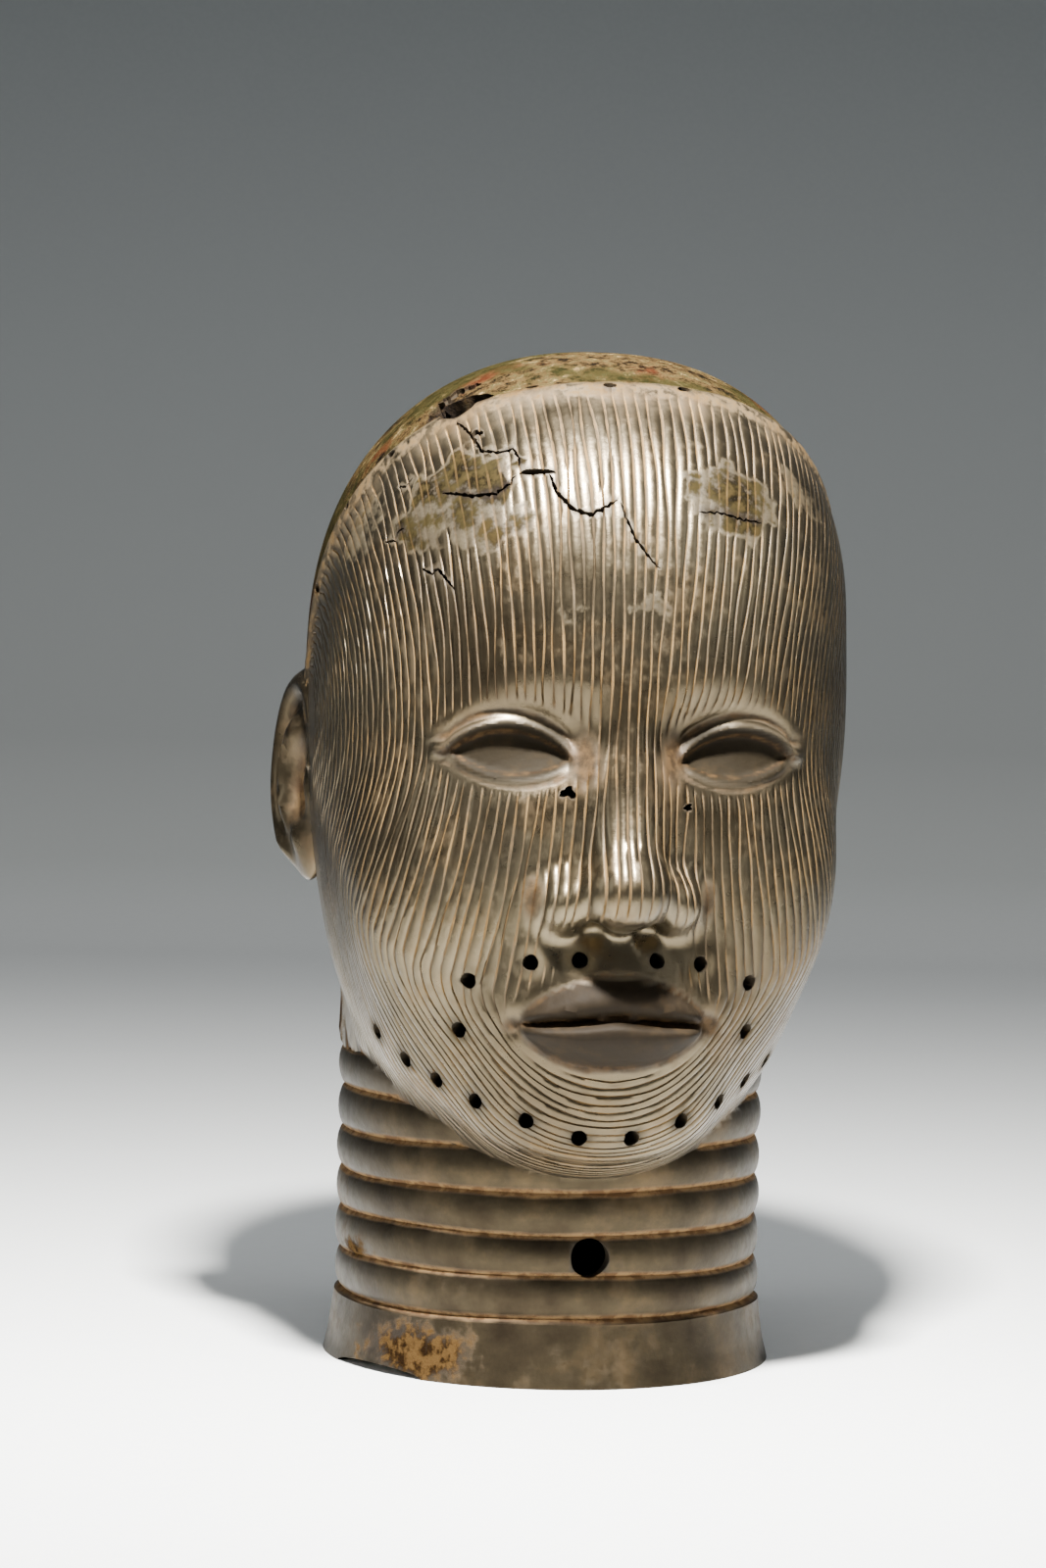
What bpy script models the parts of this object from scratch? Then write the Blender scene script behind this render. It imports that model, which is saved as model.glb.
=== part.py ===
"""A life-size head cast hollow in bronze, with a ringed neck that it stands on.

The face looks along -Y, +Z is up, and the origin is on the floor under the middle of the head.
The head's free form is worked out in units of a 237th of its own height, which are millimetres at
the real size, and stretched to the sizes below. The neck, the ears, the wall and the holes have sizes
of their own.
"""
import math

import bmesh
import bpy
import numpy as np
from mathutils import Matrix, Vector

# Head, in metres
HEAD_HEIGHT = 0.243
HEAD_WIDTH = 0.161
HEAD_DEPTH = 0.198
WALL = 0.004

# Neck, in metres
NECK_HEIGHT = 0.062
NECK_WIDTH = 0.1295
NECK_DEPTH = 0.140
NECK_SETBACK = 0.006
GROOVES = 6
GROOVE_PITCH = 0.0122
GROOVE_DEPTH = 0.0019
BASE_BAND = 0.0195
BASE_FLARE = 0.0030
RIM_LOSS_LENGTH = 0.042
RIM_LOSS_HEIGHT = 0.0024

# Ears, in metres
EAR_HEIGHT = 0.066
EAR_WIDTH = 0.036
EAR_THICKNESS = 0.013
EAR_SINK = 0.0085

# Holes, in metres
NECK_HOLE = 0.0113
NECK_HOLE_HEIGHT = 0.0375
BEARD_HOLE = 0.0046
HAIRLINE_HOLE = 0.0032
CROWN_HOLE_LENGTH = 0.0175
CROWN_HOLE_WIDTH = 0.0115
SLIT_LENGTH = 0.0105
SLIT_WIDTH = 0.002

# Angles, in degrees
EAR_FLARE = 15.0
EAR_TILT = 8.0
NECK_HOLE_ANGLE = 0.0
HEAD_LEAN = 2.3
RIM_LOSS_ANGLE = -60.0
CROWN_HOLE_TURN = 20.0

# Places on the head, in degrees to the side and up from straight ahead of its middle
CROWN_HOLE_PLACE = (-22.8, 66.0)
SLIT_PLACE = (-14.4, 44.0)
HAIRLINE_HOLES = [(-60.6, 87.5), (-46.0, 77.2), (-35.2, 69.2), (-13.0, 62.8), (-2.5, 60.2), (8.0, 60.8), (22.0, 64.8),
                  (34.0, 70.8), (48.0, 80.0)]
# Small ragged breaks: place, length and width in metres
SMALL_BREAKS = [((-21.9, 56.2), 0.0044, 0.0024), ((-10.0, -9.4), 0.0046, 0.0032), ((10.5, -11.5), 0.0028, 0.0022)]

# Holes of the moustache and beard: degrees round from straight ahead, and height above the chin
# in units of the form
BEARD_HOLES = [(8, 61.5), (18, 60.5), (31, 55.0), (34, 41.0), (6, 12.0), (18, 16.5), (31, 21.0), (43, 26.0),
               (53, 31.0), (64, 38.0)]

# Worked out from those
RINGS_TOP = BASE_BAND + GROOVES * GROOVE_PITCH
COLUMN_GAP = 0.0008
LEAN_HEIGHT = 0.8 * RINGS_TOP
LEAN_EASE = 0.02
EAR_DIRECTION = np.array([[0.985, 0.089, -0.148]])

# Fineness of the faceted solid
HEAD_RINGS = 250
HEAD_SEGMENTS = 400
HEAD_TRIANGLES = 4880
NECK_SEGMENTS = 38
EAR_SEGMENTS = 20
EAR_RINGS = 13
CORE_SEGMENTS = 20
CORE_RINGS = 14

# The free form's own units
FORM_HEIGHT = 237.0
FORM_WIDTH = 153.0
FORM_DEPTH = 193.0
FORM_CENTRE = np.array([0.0, 4.0, 122.0])
SCALE = np.array([HEAD_WIDTH / FORM_WIDTH, HEAD_DEPTH / FORM_DEPTH, HEAD_HEIGHT / FORM_HEIGHT])


def smooth_step(low, high, x):
    t = np.clip((x - low) / (high - low), 0.0, 1.0)
    return t * t * (3.0 - 2.0 * t)


def ridge(distance, width):
    return np.exp(-(distance / width) ** 2)


def ellipsoid(p, centre, radii, power=2.0):
    """About the distance to an ellipsoid, which a power over 2 makes squarer."""
    radii = np.array(radii, float)
    q = np.abs(p - np.array(centre)) / radii
    reach = np.maximum((q ** power).sum(axis=1) ** (1.0 / power), 1e-6)
    slope = np.linalg.norm(q ** (power - 1.0) / radii, axis=1) / reach ** (power - 1.0)
    return (reach - 1.0) / np.maximum(slope, 1e-9)


def tapered_bar(p, start, end, start_radius, end_radius):
    start, end = np.array(start, float), np.array(end, float)
    along = end - start
    t = np.clip((p - start) @ along / (along @ along), 0.0, 1.0)
    away = np.linalg.norm(p - start - t[:, None] * along, axis=1)
    return away - (start_radius + (end_radius - start_radius) * t)


def blend(a, b, softness):
    t = np.clip(0.5 + 0.5 * (b - a) / softness, 0.0, 1.0)
    return b + (a - b) * t - softness * t * (1.0 - t)


def hollow(a, b, softness):
    return -blend(-a, b, softness)


def neck_column(p):
    """The plain neck, an upright oval column: hidden inside the rolls, flush with them above, then narrowing."""
    height = p[:, 2] * SCALE[2] + NECK_HEIGHT - RINGS_TOP
    inset = (GROOVE_DEPTH + COLUMN_GAP) * smooth_step(0.003, -0.003, height)
    inset = inset + 0.25 * NECK_WIDTH * smooth_step(0.0, 1.2 * NECK_HEIGHT, height)
    half_width = (NECK_WIDTH / 2 - inset) / SCALE[0]
    half_depth = (NECK_DEPTH / 2 - inset) / SCALE[1]
    across = np.hypot(p[:, 0] / half_width, (p[:, 1] - NECK_SETBACK / SCALE[1]) / half_depth)
    ends = np.maximum(p[:, 2] - 105.0, -p[:, 2] - 0.7 * NECK_HEIGHT / SCALE[2])
    return np.maximum((across - 1.0) * half_width, ends)


def skull_distance(p):
    """The large masses, which the clay core inside the casting follows too."""
    m = np.column_stack([np.abs(p[:, 0]), p[:, 1:]])
    d = ellipsoid(m, (0, 8.5, 150), (76.5, 96.5, 87), 2.28)
    d = blend(d, ellipsoid(m, (0, -8, 90), (72, 77, 90)), 24)
    d = blend(d, ellipsoid(m, (0, -36, 46), (54, 46, 45)), 20)
    return d


def head_distance(p):
    """Signed distance to the head, negative inside, without the fine relief."""
    m = np.column_stack([np.abs(p[:, 0]), p[:, 1:]])
    d = skull_distance(p)
    # Cheekbones and eye sockets
    d = blend(d, ellipsoid(m, (35, -50, 80), (28, 25, 30)), 22)
    d = hollow(d, ellipsoid(m, (27, -90, 121.5), (20, 12, 10)), 12)
    # Mouth mass and chin
    d = blend(d, ellipsoid(m, (0, -66, 47), (30, 22.5, 20)), 14)
    d = blend(d, ellipsoid(m, (0, -62, 18), (27, 18, 15)), 22)
    # Nose: bridge, tip, wings and nostrils
    d = blend(d, tapered_bar(m, (0, -77, 124), (0, -92, 84), 7.0, 9.5), 11)
    d = blend(d, ellipsoid(m, (0, -94, 80), (11.8, 12.5, 10.0)), 6)
    d = blend(d, ellipsoid(m, (15, -84.0, 77), (7.5, 10.5, 8)), 6)
    d = hollow(d, ellipsoid(m, (7.6, -89, 68.5), (3.8, 5.4, 4.0)), 2)
    # Eyeballs
    d = blend(d, ellipsoid(m, (31, -60.5, 118), (17, 14.8, 13.5)), 3)
    # Nape, where the neck runs up into the head
    softness = 5.0 + 17.0 * smooth_step(-10.0, 45.0, p[:, 1])
    return blend(d, neck_column(p), softness)


def core_distance(p):
    """The empty inside: one wall in from both the plain skull and the face."""
    return np.maximum(skull_distance(p), head_distance(p)) + WALL / SCALE[2]


def on_surface(distance, directions, near=30.0, far=190.0):
    """Where rays from the middle of the head cross a form, by halving."""
    low = np.full(len(directions), near)
    high = np.full(len(directions), far)
    for _ in range(24):
        middle = (low + high) / 2
        inside = distance(FORM_CENTRE + directions * middle[:, None]) < 0
        low = np.where(inside, middle, low)
        high = np.where(inside, high, middle)
    return FORM_CENTRE + directions * low[:, None]


def eye_relief(x, z):
    """Lids round almond eyes, as a height over the smooth eye."""
    half = 16.5
    ex = x - 31.0
    ez = z - 118.0 - 0.06 * ex
    t = np.clip(ex / half, -1.0, 1.0)
    upper = 7.6 * (1 - t ** 2) ** 0.85 - 0.8
    lower = -5.6 * (1 - t ** 2) ** 0.95 - 0.8
    tail = -0.32 * np.clip(ex - half + 1.5, 0.0, 9.0)
    lean = np.cos(np.arctan(0.62 * np.abs(t)))
    reach = smooth_step(half + 6.0, half, ex) * smooth_step(-half - 2.0, -half + 2.0, ex)
    h = 2.1 * ridge((ez - upper - tail - 1.3) * lean, 1.7) * reach
    h += 1.0 * ridge((ez - lower + 1.0) * lean, 1.15) * smooth_step(half - 0.5, half - 4.0, np.abs(ex))
    h -= 0.9 * ridge((ez - upper - tail - 5.0) * lean, 1.8) * reach
    h -= 0.9 * smooth_step(0.2, 1.2, upper - ez) * smooth_step(0.2, 1.2, ez - lower)
    return h * (z > 80.0)


def mouth_relief(x, z):
    """Closed lips, as a height over the smooth mouth."""
    corner = 26.0
    t = np.clip(x / corner, 0.0, 1.3)
    mz = z - (45.0 + 1.0 * ridge(x, 7.0) - 1.6 * t ** 2)
    open_span = np.clip(1 - t ** 2, 0.0, 1.0)
    upper = 11.0 * open_span ** 0.8 * (1 - 0.16 * ridge(x, 4.5))
    lower = 13.0 * open_span ** 0.8
    u = np.clip(mz / np.maximum(upper, 0.5), 0.0, 1.0)
    v = np.clip(-mz / np.maximum(lower, 0.5), 0.0, 1.0)
    full = smooth_step(0.0, 0.45, open_span)
    h = 1.4 * smooth_step(-1.1, 1.5, upper - mz) * smooth_step(-1.1, 1.5, lower + mz)
    h *= smooth_step(1.05, 0.95, t)
    h += np.where(mz > 0, 3.0 * np.sin(np.pi * u ** 0.75), 4.2 * np.sin(np.pi * v ** 0.62)) * full
    h -= 2.4 * ridge(mz, 1.7) * smooth_step(1.06, 0.9, t)
    h -= 1.0 * ridge(np.hypot(x - corner - 0.5, mz * 0.8), 2.6)
    return h * (z < 66.0)


def hairline(p):
    """Signed distance from the front edge of the smooth cap, positive on the cap.

    The edge goes up in front of the ear and then curves forward over the brow.
    """
    rise = np.clip(p[:, 2] - 145.0, 0.0, None) / 77.0
    slope = 1.58 * rise
    return (p[:, 1] - 8.0 + 61.0 * rise ** 2) / np.sqrt(1.0 + slope ** 2)


def add_relief(p):
    """Moves the points of the smooth form out to its lids, lips and the edge of the cap."""
    x, z = np.abs(p[:, 0]), p[:, 2]
    front = smooth_step(10.0, 40.0, -p[:, 1])
    height = (eye_relief(x, z) + mouth_relief(x, z)) * front
    forward = np.column_stack([0.012 * p[:, 0], -np.ones(len(p)), np.zeros(len(p))])
    forward /= np.linalg.norm(forward, axis=1)[:, None]
    out = p - FORM_CENTRE
    out /= np.linalg.norm(out, axis=1)[:, None]
    edge = 1.2 * ridge(hairline(p), 2.8) * smooth_step(118.0, 135.0, z)
    return p + forward * height[:, None] + out * edge[:, None]


def upright(p):
    """Form units to metres, with the head above the neck and its depth even about the origin."""
    q = p * SCALE
    q[:, 1] -= MIDDLE
    q[:, 2] += NECK_HEIGHT
    return q


def leaned(q):
    """The head leans a little to its left, from the top rolls of the neck up, and all of it moves by ASIDE."""
    lift = np.clip(q[:, 2] - LEAN_HEIGHT, 0.0, None)
    aside = ASIDE + lift * lift / (lift + LEAN_EASE) * math.tan(math.radians(HEAD_LEAN))
    return q + np.column_stack([aside, np.zeros(len(q)), np.zeros(len(q))])


def placed(p):
    return leaned(upright(p))


def middle_of_depth():
    """How far the middle between the tip of the nose and the back of the skull is from the form's origin."""
    angles = np.radians(np.linspace(-60.0, 60.0, 601))
    front = np.column_stack([np.zeros(601), -np.cos(angles), np.sin(angles)])
    nose = on_surface(head_distance, front)[:, 1].min()
    back = on_surface(head_distance, front * (1, -1, 1))[:, 1].max()
    return (nose + back) / 2 * SCALE[1]


MIDDLE = middle_of_depth()
ASIDE = 0.0


def new_object(name, bm, collection):
    mesh = bpy.data.meshes.new(name)
    bm.normal_update()
    bmesh.ops.recalc_face_normals(bm, faces=bm.faces)
    bm.to_mesh(mesh)
    bm.free()
    thing = bpy.data.objects.new(name, mesh)
    collection.objects.link(thing)
    return thing


def new_collection(name):
    collection = bpy.data.collections.new(name)
    bpy.context.scene.collection.children.link(collection)
    return collection


def as_tool(thing):
    thing.hide_render = True
    thing.display_type = 'WIRE'
    return thing


def round_form(name, distance, segments, rings, relief, collection):
    """A sphere with its poles at the ears, each point moved out to the form."""
    bm = bmesh.new()
    bmesh.ops.create_uvsphere(bm, u_segments=segments, v_segments=rings, radius=1.0)
    directions = np.array([(v.co.z, v.co.x, v.co.y) for v in bm.verts])
    directions /= np.linalg.norm(directions, axis=1)[:, None]
    points = on_surface(distance, directions)
    if relief:
        points = add_relief(points)
    for vert, point in zip(bm.verts, placed(points)):
        vert.co = point
    return new_object(name, bm, collection)


def ring_profile():
    """Radius and height up the outside of the neck: a flared base band and convex rolls between grooves."""
    half = NECK_WIDTH / 2
    points = [(half + BASE_FLARE, 0.0), (half + BASE_FLARE * 0.55, BASE_BAND * 0.3),
              (half + BASE_FLARE * 0.2, BASE_BAND * 0.75), (half - GROOVE_DEPTH, BASE_BAND)]
    for roll in range(GROOVES):
        foot = BASE_BAND + roll * GROOVE_PITCH
        for share in (0.2, 0.5, 0.8):
            swell = math.sin(math.pi * share) ** 0.6
            points.append((half - GROOVE_DEPTH * (1 - swell), foot + share * GROOVE_PITCH))
        points.append((half - GROOVE_DEPTH, foot + GROOVE_PITCH))
    return points


def turned(name, profile, segments, collection):
    """A profile turned about Z, closed on the axis, and drawn out to the neck's oval."""
    outline = [(0.0, profile[0][1])] + profile + [(0.0, profile[-1][1])]
    bm = bmesh.new()
    verts = [bm.verts.new((radius, 0.0, height)) for radius, height in reversed(outline)]
    for upper, lower in zip(verts, verts[1:]):
        bm.edges.new((upper, lower))
    mesh = bpy.data.meshes.new(name)
    bm.to_mesh(mesh)
    bm.free()
    thing = bpy.data.objects.new(name, mesh)
    collection.objects.link(thing)
    screw = thing.modifiers.new("Turn", 'SCREW')
    screw.steps = segments
    screw.render_steps = segments
    screw.use_merge_vertices = True
    screw.merge_threshold = 0.00005
    thing.scale = (1.0, NECK_DEPTH / NECK_WIDTH, 1.0)
    thing.location = (ASIDE, NECK_SETBACK - MIDDLE, 0.0)
    return thing


def ear_relief(u, v):
    """Folds of a plain ear over its unit disc, u to the rear and v up, as shares of its thickness."""
    r = np.hypot(u, v)
    angle = np.degrees(np.arctan2(v, u))
    rim_part = smooth_step(-75.0, -45.0, angle) * smooth_step(215.0, 190.0, np.where(angle < -90, angle + 360, angle))
    h = 0.30 * ridge(r - 0.86, 0.14) * rim_part
    h -= 0.10 * ridge(r - 0.64, 0.10) * smooth_step(-60.0, -30.0, angle) * smooth_step(150.0, 110.0, angle)
    inner = np.hypot(u + 0.18, v + 0.10)
    h += 0.20 * ridge(inner - 0.52, 0.15) * smooth_step(-80.0, -40.0, angle) * smooth_step(140.0, 90.0, angle)
    h -= 0.34 * smooth_step(0.5, 0.1, inner)
    h += 0.16 * ridge(np.hypot(u + 0.62, v + 0.14), 0.2)
    h += 0.14 * ridge(np.hypot(u + 0.14, v + 0.58), 0.2)
    return h


def add_ear(bm, side):
    """One ear, in place on the leaning head: a sphere drawn out to the ear's outline and folds."""
    tilt = Matrix.Rotation(math.radians(-EAR_TILT), 3, 'X') @ Matrix.Rotation(math.radians(-EAR_FLARE), 3, 'Z')
    seat = upright(on_surface(skull_distance, EAR_DIRECTION))[0]
    seat[0] += EAR_THICKNESS / 2 - EAR_SINK
    verts = bmesh.ops.create_uvsphere(bm, u_segments=EAR_SEGMENTS, v_segments=EAR_RINGS, radius=1.0)["verts"]
    u, v, out = np.array([vert.co for vert in verts]).T
    low = np.clip(-v, 0.0, 1.0)
    rear = (u * (1 - 0.26 * low ** 1.4) - 0.16 * low ** 2 + 0.05) * EAR_WIDTH / 2
    thick = out * 0.5 * EAR_THICKNESS + ear_relief(u, v) * EAR_THICKNESS * (out > 0.05)
    local = np.column_stack([thick, rear, v * EAR_HEIGHT / 2])
    points = leaned((local @ np.array(tilt).T + seat) * (side, 1, 1))
    for vert, point in zip(verts, points):
        vert.co = point
    return points


def middle_of_width():
    """How far the middle between the two ears, the widest parts, is from the middle of the neck."""
    bm = bmesh.new()
    left, right = add_ear(bm, 1), add_ear(bm, -1)
    bm.free()
    return (left[:, 0].max() + right[:, 0].min()) / 2


ASIDE = -middle_of_width()


def make_ears(collection):
    """Two ears, one the mirror image of the other across the middle of the upright head."""
    bm = bmesh.new()
    for side in (1, -1):
        add_ear(bm, side)
    return as_tool(new_object("ears", bm, collection))


def skin_point(azimuth, height):
    """A point on the head at an angle from straight ahead and a height above the chin, in metres."""
    side, ahead = math.sin(math.radians(azimuth)), -math.cos(math.radians(azimuth))
    low, high = 20.0, 130.0
    for _ in range(30):
        middle = (low + high) / 2
        p = np.array([[side * middle, ahead * middle - 12.0, height]])
        if head_distance(p)[0] < 0:
            low = middle
        else:
            high = middle
    return Vector(placed(np.array([[side * low, ahead * low - 12.0, height]]))[0]), Vector((side, ahead, 0.0))


def over_head(side_angle, up_angle):
    """A point on the head at angles to the side and up from straight ahead of its middle, and the way out."""
    side, up = math.radians(side_angle), math.radians(up_angle)
    way = np.array([[math.sin(side), -math.cos(side) * math.cos(up), math.cos(side) * math.sin(up)]])
    return Vector(placed(on_surface(head_distance, way))[0]), Vector(way[0])


def hole_cutter(name, point, direction, length, width, depth, sides, turn, raggedness, collection):
    """A cutter from outside the surface to a depth behind it; a long hole is turned about its own axis."""
    bm = bmesh.new()
    outside = depth * 0.5
    bmesh.ops.create_cone(bm, cap_ends=True, segments=sides, radius1=0.5, radius2=0.5, depth=depth + outside)
    for vert in bm.verts:
        angle = math.atan2(vert.co.y, vert.co.x)
        rough = 1.0 + raggedness * (math.sin(3 * angle + 1.0) + 0.6 * math.sin(5 * angle))
        vert.co.x *= length * rough
        vert.co.y *= width * rough
    facing = Vector(direction).to_track_quat('Z', 'Y').to_matrix().to_4x4()
    middle = Vector(point) + Vector(direction) * (outside - depth) / 2
    place = Matrix.Translation(middle) @ facing @ Matrix.Rotation(math.radians(turn), 4, 'Z')
    bmesh.ops.transform(bm, matrix=place, verts=bm.verts)
    return as_tool(new_object(name, bm, collection))


def make_beard_holes(collection):
    for side in (-1, 1):
        for azimuth, height in BEARD_HOLES:
            point, direction = skin_point(azimuth * side, height)
            hole_cutter("beard_hole", point, direction, BEARD_HOLE, BEARD_HOLE, 2.8 * WALL, 8, 0, 0, collection)


def make_hairline_holes(collection):
    for place in HAIRLINE_HOLES:
        point, direction = over_head(*place)
        hole_cutter("hairline_hole", point, direction, HAIRLINE_HOLE, HAIRLINE_HOLE, 3 * WALL, 6, 0, 0, collection)


def make_breaks(collection):
    """What is lost: a ragged hole in the crown, a slit below it, small breaks and a worn stretch of the rim."""
    point, direction = over_head(*CROWN_HOLE_PLACE)
    hole_cutter("crown_hole", point, direction, CROWN_HOLE_LENGTH, CROWN_HOLE_WIDTH, 3 * WALL, 14,
                CROWN_HOLE_TURN, 0.13, collection)
    point, direction = over_head(*SLIT_PLACE)
    hole_cutter("slit", point, direction, SLIT_LENGTH, SLIT_WIDTH, 3 * WALL, 8, 0, 0.05, collection)
    for place, length, width in SMALL_BREAKS:
        point, direction = over_head(*place)
        hole_cutter("small_break", point, direction, length, width, 3 * WALL, 8, 0, 0.1, collection)
    bm = bmesh.new()
    bmesh.ops.create_uvsphere(bm, u_segments=16, v_segments=8, radius=1.0)
    size = (WALL * 3, RIM_LOSS_LENGTH / 2, RIM_LOSS_HEIGHT)
    angle = math.radians(RIM_LOSS_ANGLE - 90.0)
    rim = Vector((math.cos(angle) * NECK_WIDTH / 2 + ASIDE, math.sin(angle) * NECK_DEPTH / 2 + NECK_SETBACK - MIDDLE,
                  0.0))
    place = Matrix.Translation(rim) @ Matrix.Rotation(angle, 4, 'Z') @ Matrix.Diagonal((*size, 1.0))
    bmesh.ops.transform(bm, matrix=place, verts=bm.verts)
    as_tool(new_object("rim_loss", bm, collection))


def make_neck_hole(collection):
    angle = math.radians(NECK_HOLE_ANGLE)
    ahead = Vector((math.sin(angle), -math.cos(angle), 0.0))
    front = Vector((ahead.x * NECK_WIDTH / 2 + ASIDE, ahead.y * NECK_DEPTH / 2 + NECK_SETBACK - MIDDLE,
                    NECK_HOLE_HEIGHT))
    hole_cutter("neck_hole", front, ahead, NECK_HOLE, NECK_HOLE, 3 * WALL, 14, 0, 0, collection)


def make_core(collection):
    """What the wall is left round: the clay core of the head, joined with the bore of the neck."""
    core = as_tool(round_form("head_core", core_distance, CORE_SEGMENTS, CORE_RINGS, False, collection))
    radius = NECK_WIDTH / 2 - GROOVE_DEPTH - WALL
    top = NECK_HEIGHT + 0.2 * HEAD_HEIGHT
    profile = [(radius, -WALL), (radius, top * 0.75), (radius * 0.8, top)]
    bore = as_tool(turned("neck_bore", profile, NECK_SEGMENTS, collection))
    combine(core, "Bore", 'UNION', bore)
    return core


def cast_bronze():
    material = bpy.data.materials.new("bronze")
    material.use_nodes = True
    shader = material.node_tree.nodes["Principled BSDF"]
    shader.inputs["Base Color"].default_value = (0.16, 0.105, 0.062, 1.0)
    shader.inputs["Metallic"].default_value = 0.85
    shader.inputs["Roughness"].default_value = 0.42
    return material


def combine(thing, name, operation, other, solver='EXACT'):
    """A Boolean modifier with one object or with all those in a collection."""
    boolean = thing.modifiers.new(name, 'BOOLEAN')
    boolean.operation = operation
    boolean.solver = solver
    if isinstance(other, bpy.types.Collection):
        boolean.operand_type = 'COLLECTION'
        boolean.collection = other
    else:
        boolean.object = other


def build():
    for thing in list(bpy.data.objects):
        bpy.data.objects.remove(thing, do_unlink=True)
    parts = new_collection("bronze_head")
    added = new_collection("neck_and_ears")
    hollows = new_collection("hollows")
    holes = new_collection("holes")

    head = round_form("head", head_distance, HEAD_SEGMENTS, HEAD_RINGS, True, parts)
    reduce = head.modifiers.new("Facets", 'DECIMATE')
    reduce.ratio = HEAD_TRIANGLES / (2.0 * HEAD_SEGMENTS * (HEAD_RINGS - 1))
    as_tool(turned("neck", ring_profile(), NECK_SEGMENTS, added))
    make_ears(added)
    make_beard_holes(holes)
    make_hairline_holes(holes)
    make_breaks(holes)
    make_neck_hole(holes)
    combine(head, "Neck and ears", 'UNION', added)
    combine(head, "Hollow", 'DIFFERENCE', make_core(hollows))
    combine(head, "Holes", 'DIFFERENCE', holes, 'MANIFOLD')
    head.data.materials.append(cast_bronze())
    head.data.shade_smooth()


build()
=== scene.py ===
import math

import bmesh
import bpy
import numpy as np
from mathutils import Matrix, Vector
from mathutils.kdtree import KDTree


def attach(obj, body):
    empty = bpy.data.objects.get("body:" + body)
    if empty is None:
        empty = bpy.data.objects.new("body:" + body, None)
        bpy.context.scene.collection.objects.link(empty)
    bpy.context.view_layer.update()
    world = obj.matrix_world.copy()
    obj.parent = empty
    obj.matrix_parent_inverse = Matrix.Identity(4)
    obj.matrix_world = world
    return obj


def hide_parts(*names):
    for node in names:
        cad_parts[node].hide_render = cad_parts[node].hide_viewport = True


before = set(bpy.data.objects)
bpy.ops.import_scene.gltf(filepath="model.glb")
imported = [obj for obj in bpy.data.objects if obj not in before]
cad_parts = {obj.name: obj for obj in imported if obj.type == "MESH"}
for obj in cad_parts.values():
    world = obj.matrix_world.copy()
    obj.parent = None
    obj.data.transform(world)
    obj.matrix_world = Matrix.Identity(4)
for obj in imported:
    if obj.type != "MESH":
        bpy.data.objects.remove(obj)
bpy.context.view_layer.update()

# The solid's own sizes, in metres
HEAD_HEIGHT = 0.243
HEAD_WIDTH = 0.161
HEAD_DEPTH = 0.198
WALL = 0.004
NECK_HEIGHT = 0.062
NECK_WIDTH = 0.1295
NECK_DEPTH = 0.140
NECK_SETBACK = 0.006
GROOVES = 6
GROOVE_PITCH = 0.0122
GROOVE_DEPTH = 0.0019
BASE_BAND = 0.0195
BASE_FLARE = 0.0030
RIM_LOSS_LENGTH = 0.042
RIM_LOSS_HEIGHT = 0.0024
EAR_HEIGHT = 0.066
EAR_WIDTH = 0.036
EAR_THICKNESS = 0.013
EAR_SINK = 0.0085
NECK_HOLE = 0.0113
NECK_HOLE_HEIGHT = 0.0375
BEARD_HOLE = 0.0046
HAIRLINE_HOLE = 0.0032
CROWN_HOLE_LENGTH = 0.0175
CROWN_HOLE_WIDTH = 0.0115
SLIT_LENGTH = 0.0105
SLIT_WIDTH = 0.002
RINGS_TOP = BASE_BAND + GROOVES * GROOVE_PITCH
COLUMN_GAP = 0.0008
LEAN_HEIGHT = 0.8 * RINGS_TOP
LEAN_EASE = 0.02
# How far the neck stands from the middle between the ears
ASIDE = -0.0034

# The solid's own angles and places, in degrees
EAR_FLARE = 15.0
EAR_TILT = 8.0
HEAD_LEAN = 2.3
RIM_LOSS_ANGLE = -60.0
CROWN_HOLE_TURN = 20.0
CROWN_HOLE_PLACE = (-22.8, 66.0)
SLIT_PLACE = (-14.4, 44.0)
HAIRLINE_HOLES = [(-60.6, 87.5), (-46.0, 77.2), (-35.2, 69.2), (-13.0, 62.8), (-2.5, 60.2), (8.0, 60.8),
                  (22.0, 64.8), (34.0, 70.8), (48.0, 80.0)]
SMALL_BREAKS = [((-21.9, 56.2), 0.0044, 0.0024), ((-10.0, -9.4), 0.0046, 0.0032),
                ((10.5, -11.5), 0.0028, 0.0022)]
BEARD_HOLES = [(8, 61.5), (18, 60.5), (31, 55.0), (34, 41.0), (6, 12.0), (18, 16.5), (31, 21.0), (43, 26.0),
               (53, 31.0), (64, 38.0)]
EAR_DIRECTION = np.array([[0.985, 0.089, -0.148]])

# The free form's own units
FORM_CENTRE = np.array([0.0, 4.0, 122.0])
SCALE = np.array([HEAD_WIDTH / 153.0, HEAD_DEPTH / 193.0, HEAD_HEIGHT / 237.0])

# Engraved lines of the face: pitch in degrees round the head, depth in metres
LINE_PITCH = 1.58
LINE_COUNT = 50
LINE_PHASES = (0.0, 0.35, 0.5, 0.65)
LINE_DEPTH = 0.00050
MOUTH_LEVEL = -39.3

# Fineness of the drawn surface
MOUTH_ROWS = 40
BACK_ROWS = 40
SEAM_GAP = 2.0
NECK_SEGMENTS = 132
ROLL_STEPS = 9

# Worn and abraded places: degrees to the side and up, their half sizes, and how much of the lines is gone
WORN_PLACES = [(14.0, 40.0, 8.0, 6.5, 0.75), (-28.0, 45.5, 11.5, 8.5, 0.80), (-22.0, 37.0, 8.0, 4.5, 0.6),
               (2.0, 22.0, 5.0, 1.6, 0.6), (-10.0, 20.8, 4.0, 1.4, 0.5), (-45.0, 60.0, 7.0, 9.0, 0.5),
               (29.0, 50.0, 6.0, 5.0, 0.5)]

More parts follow.
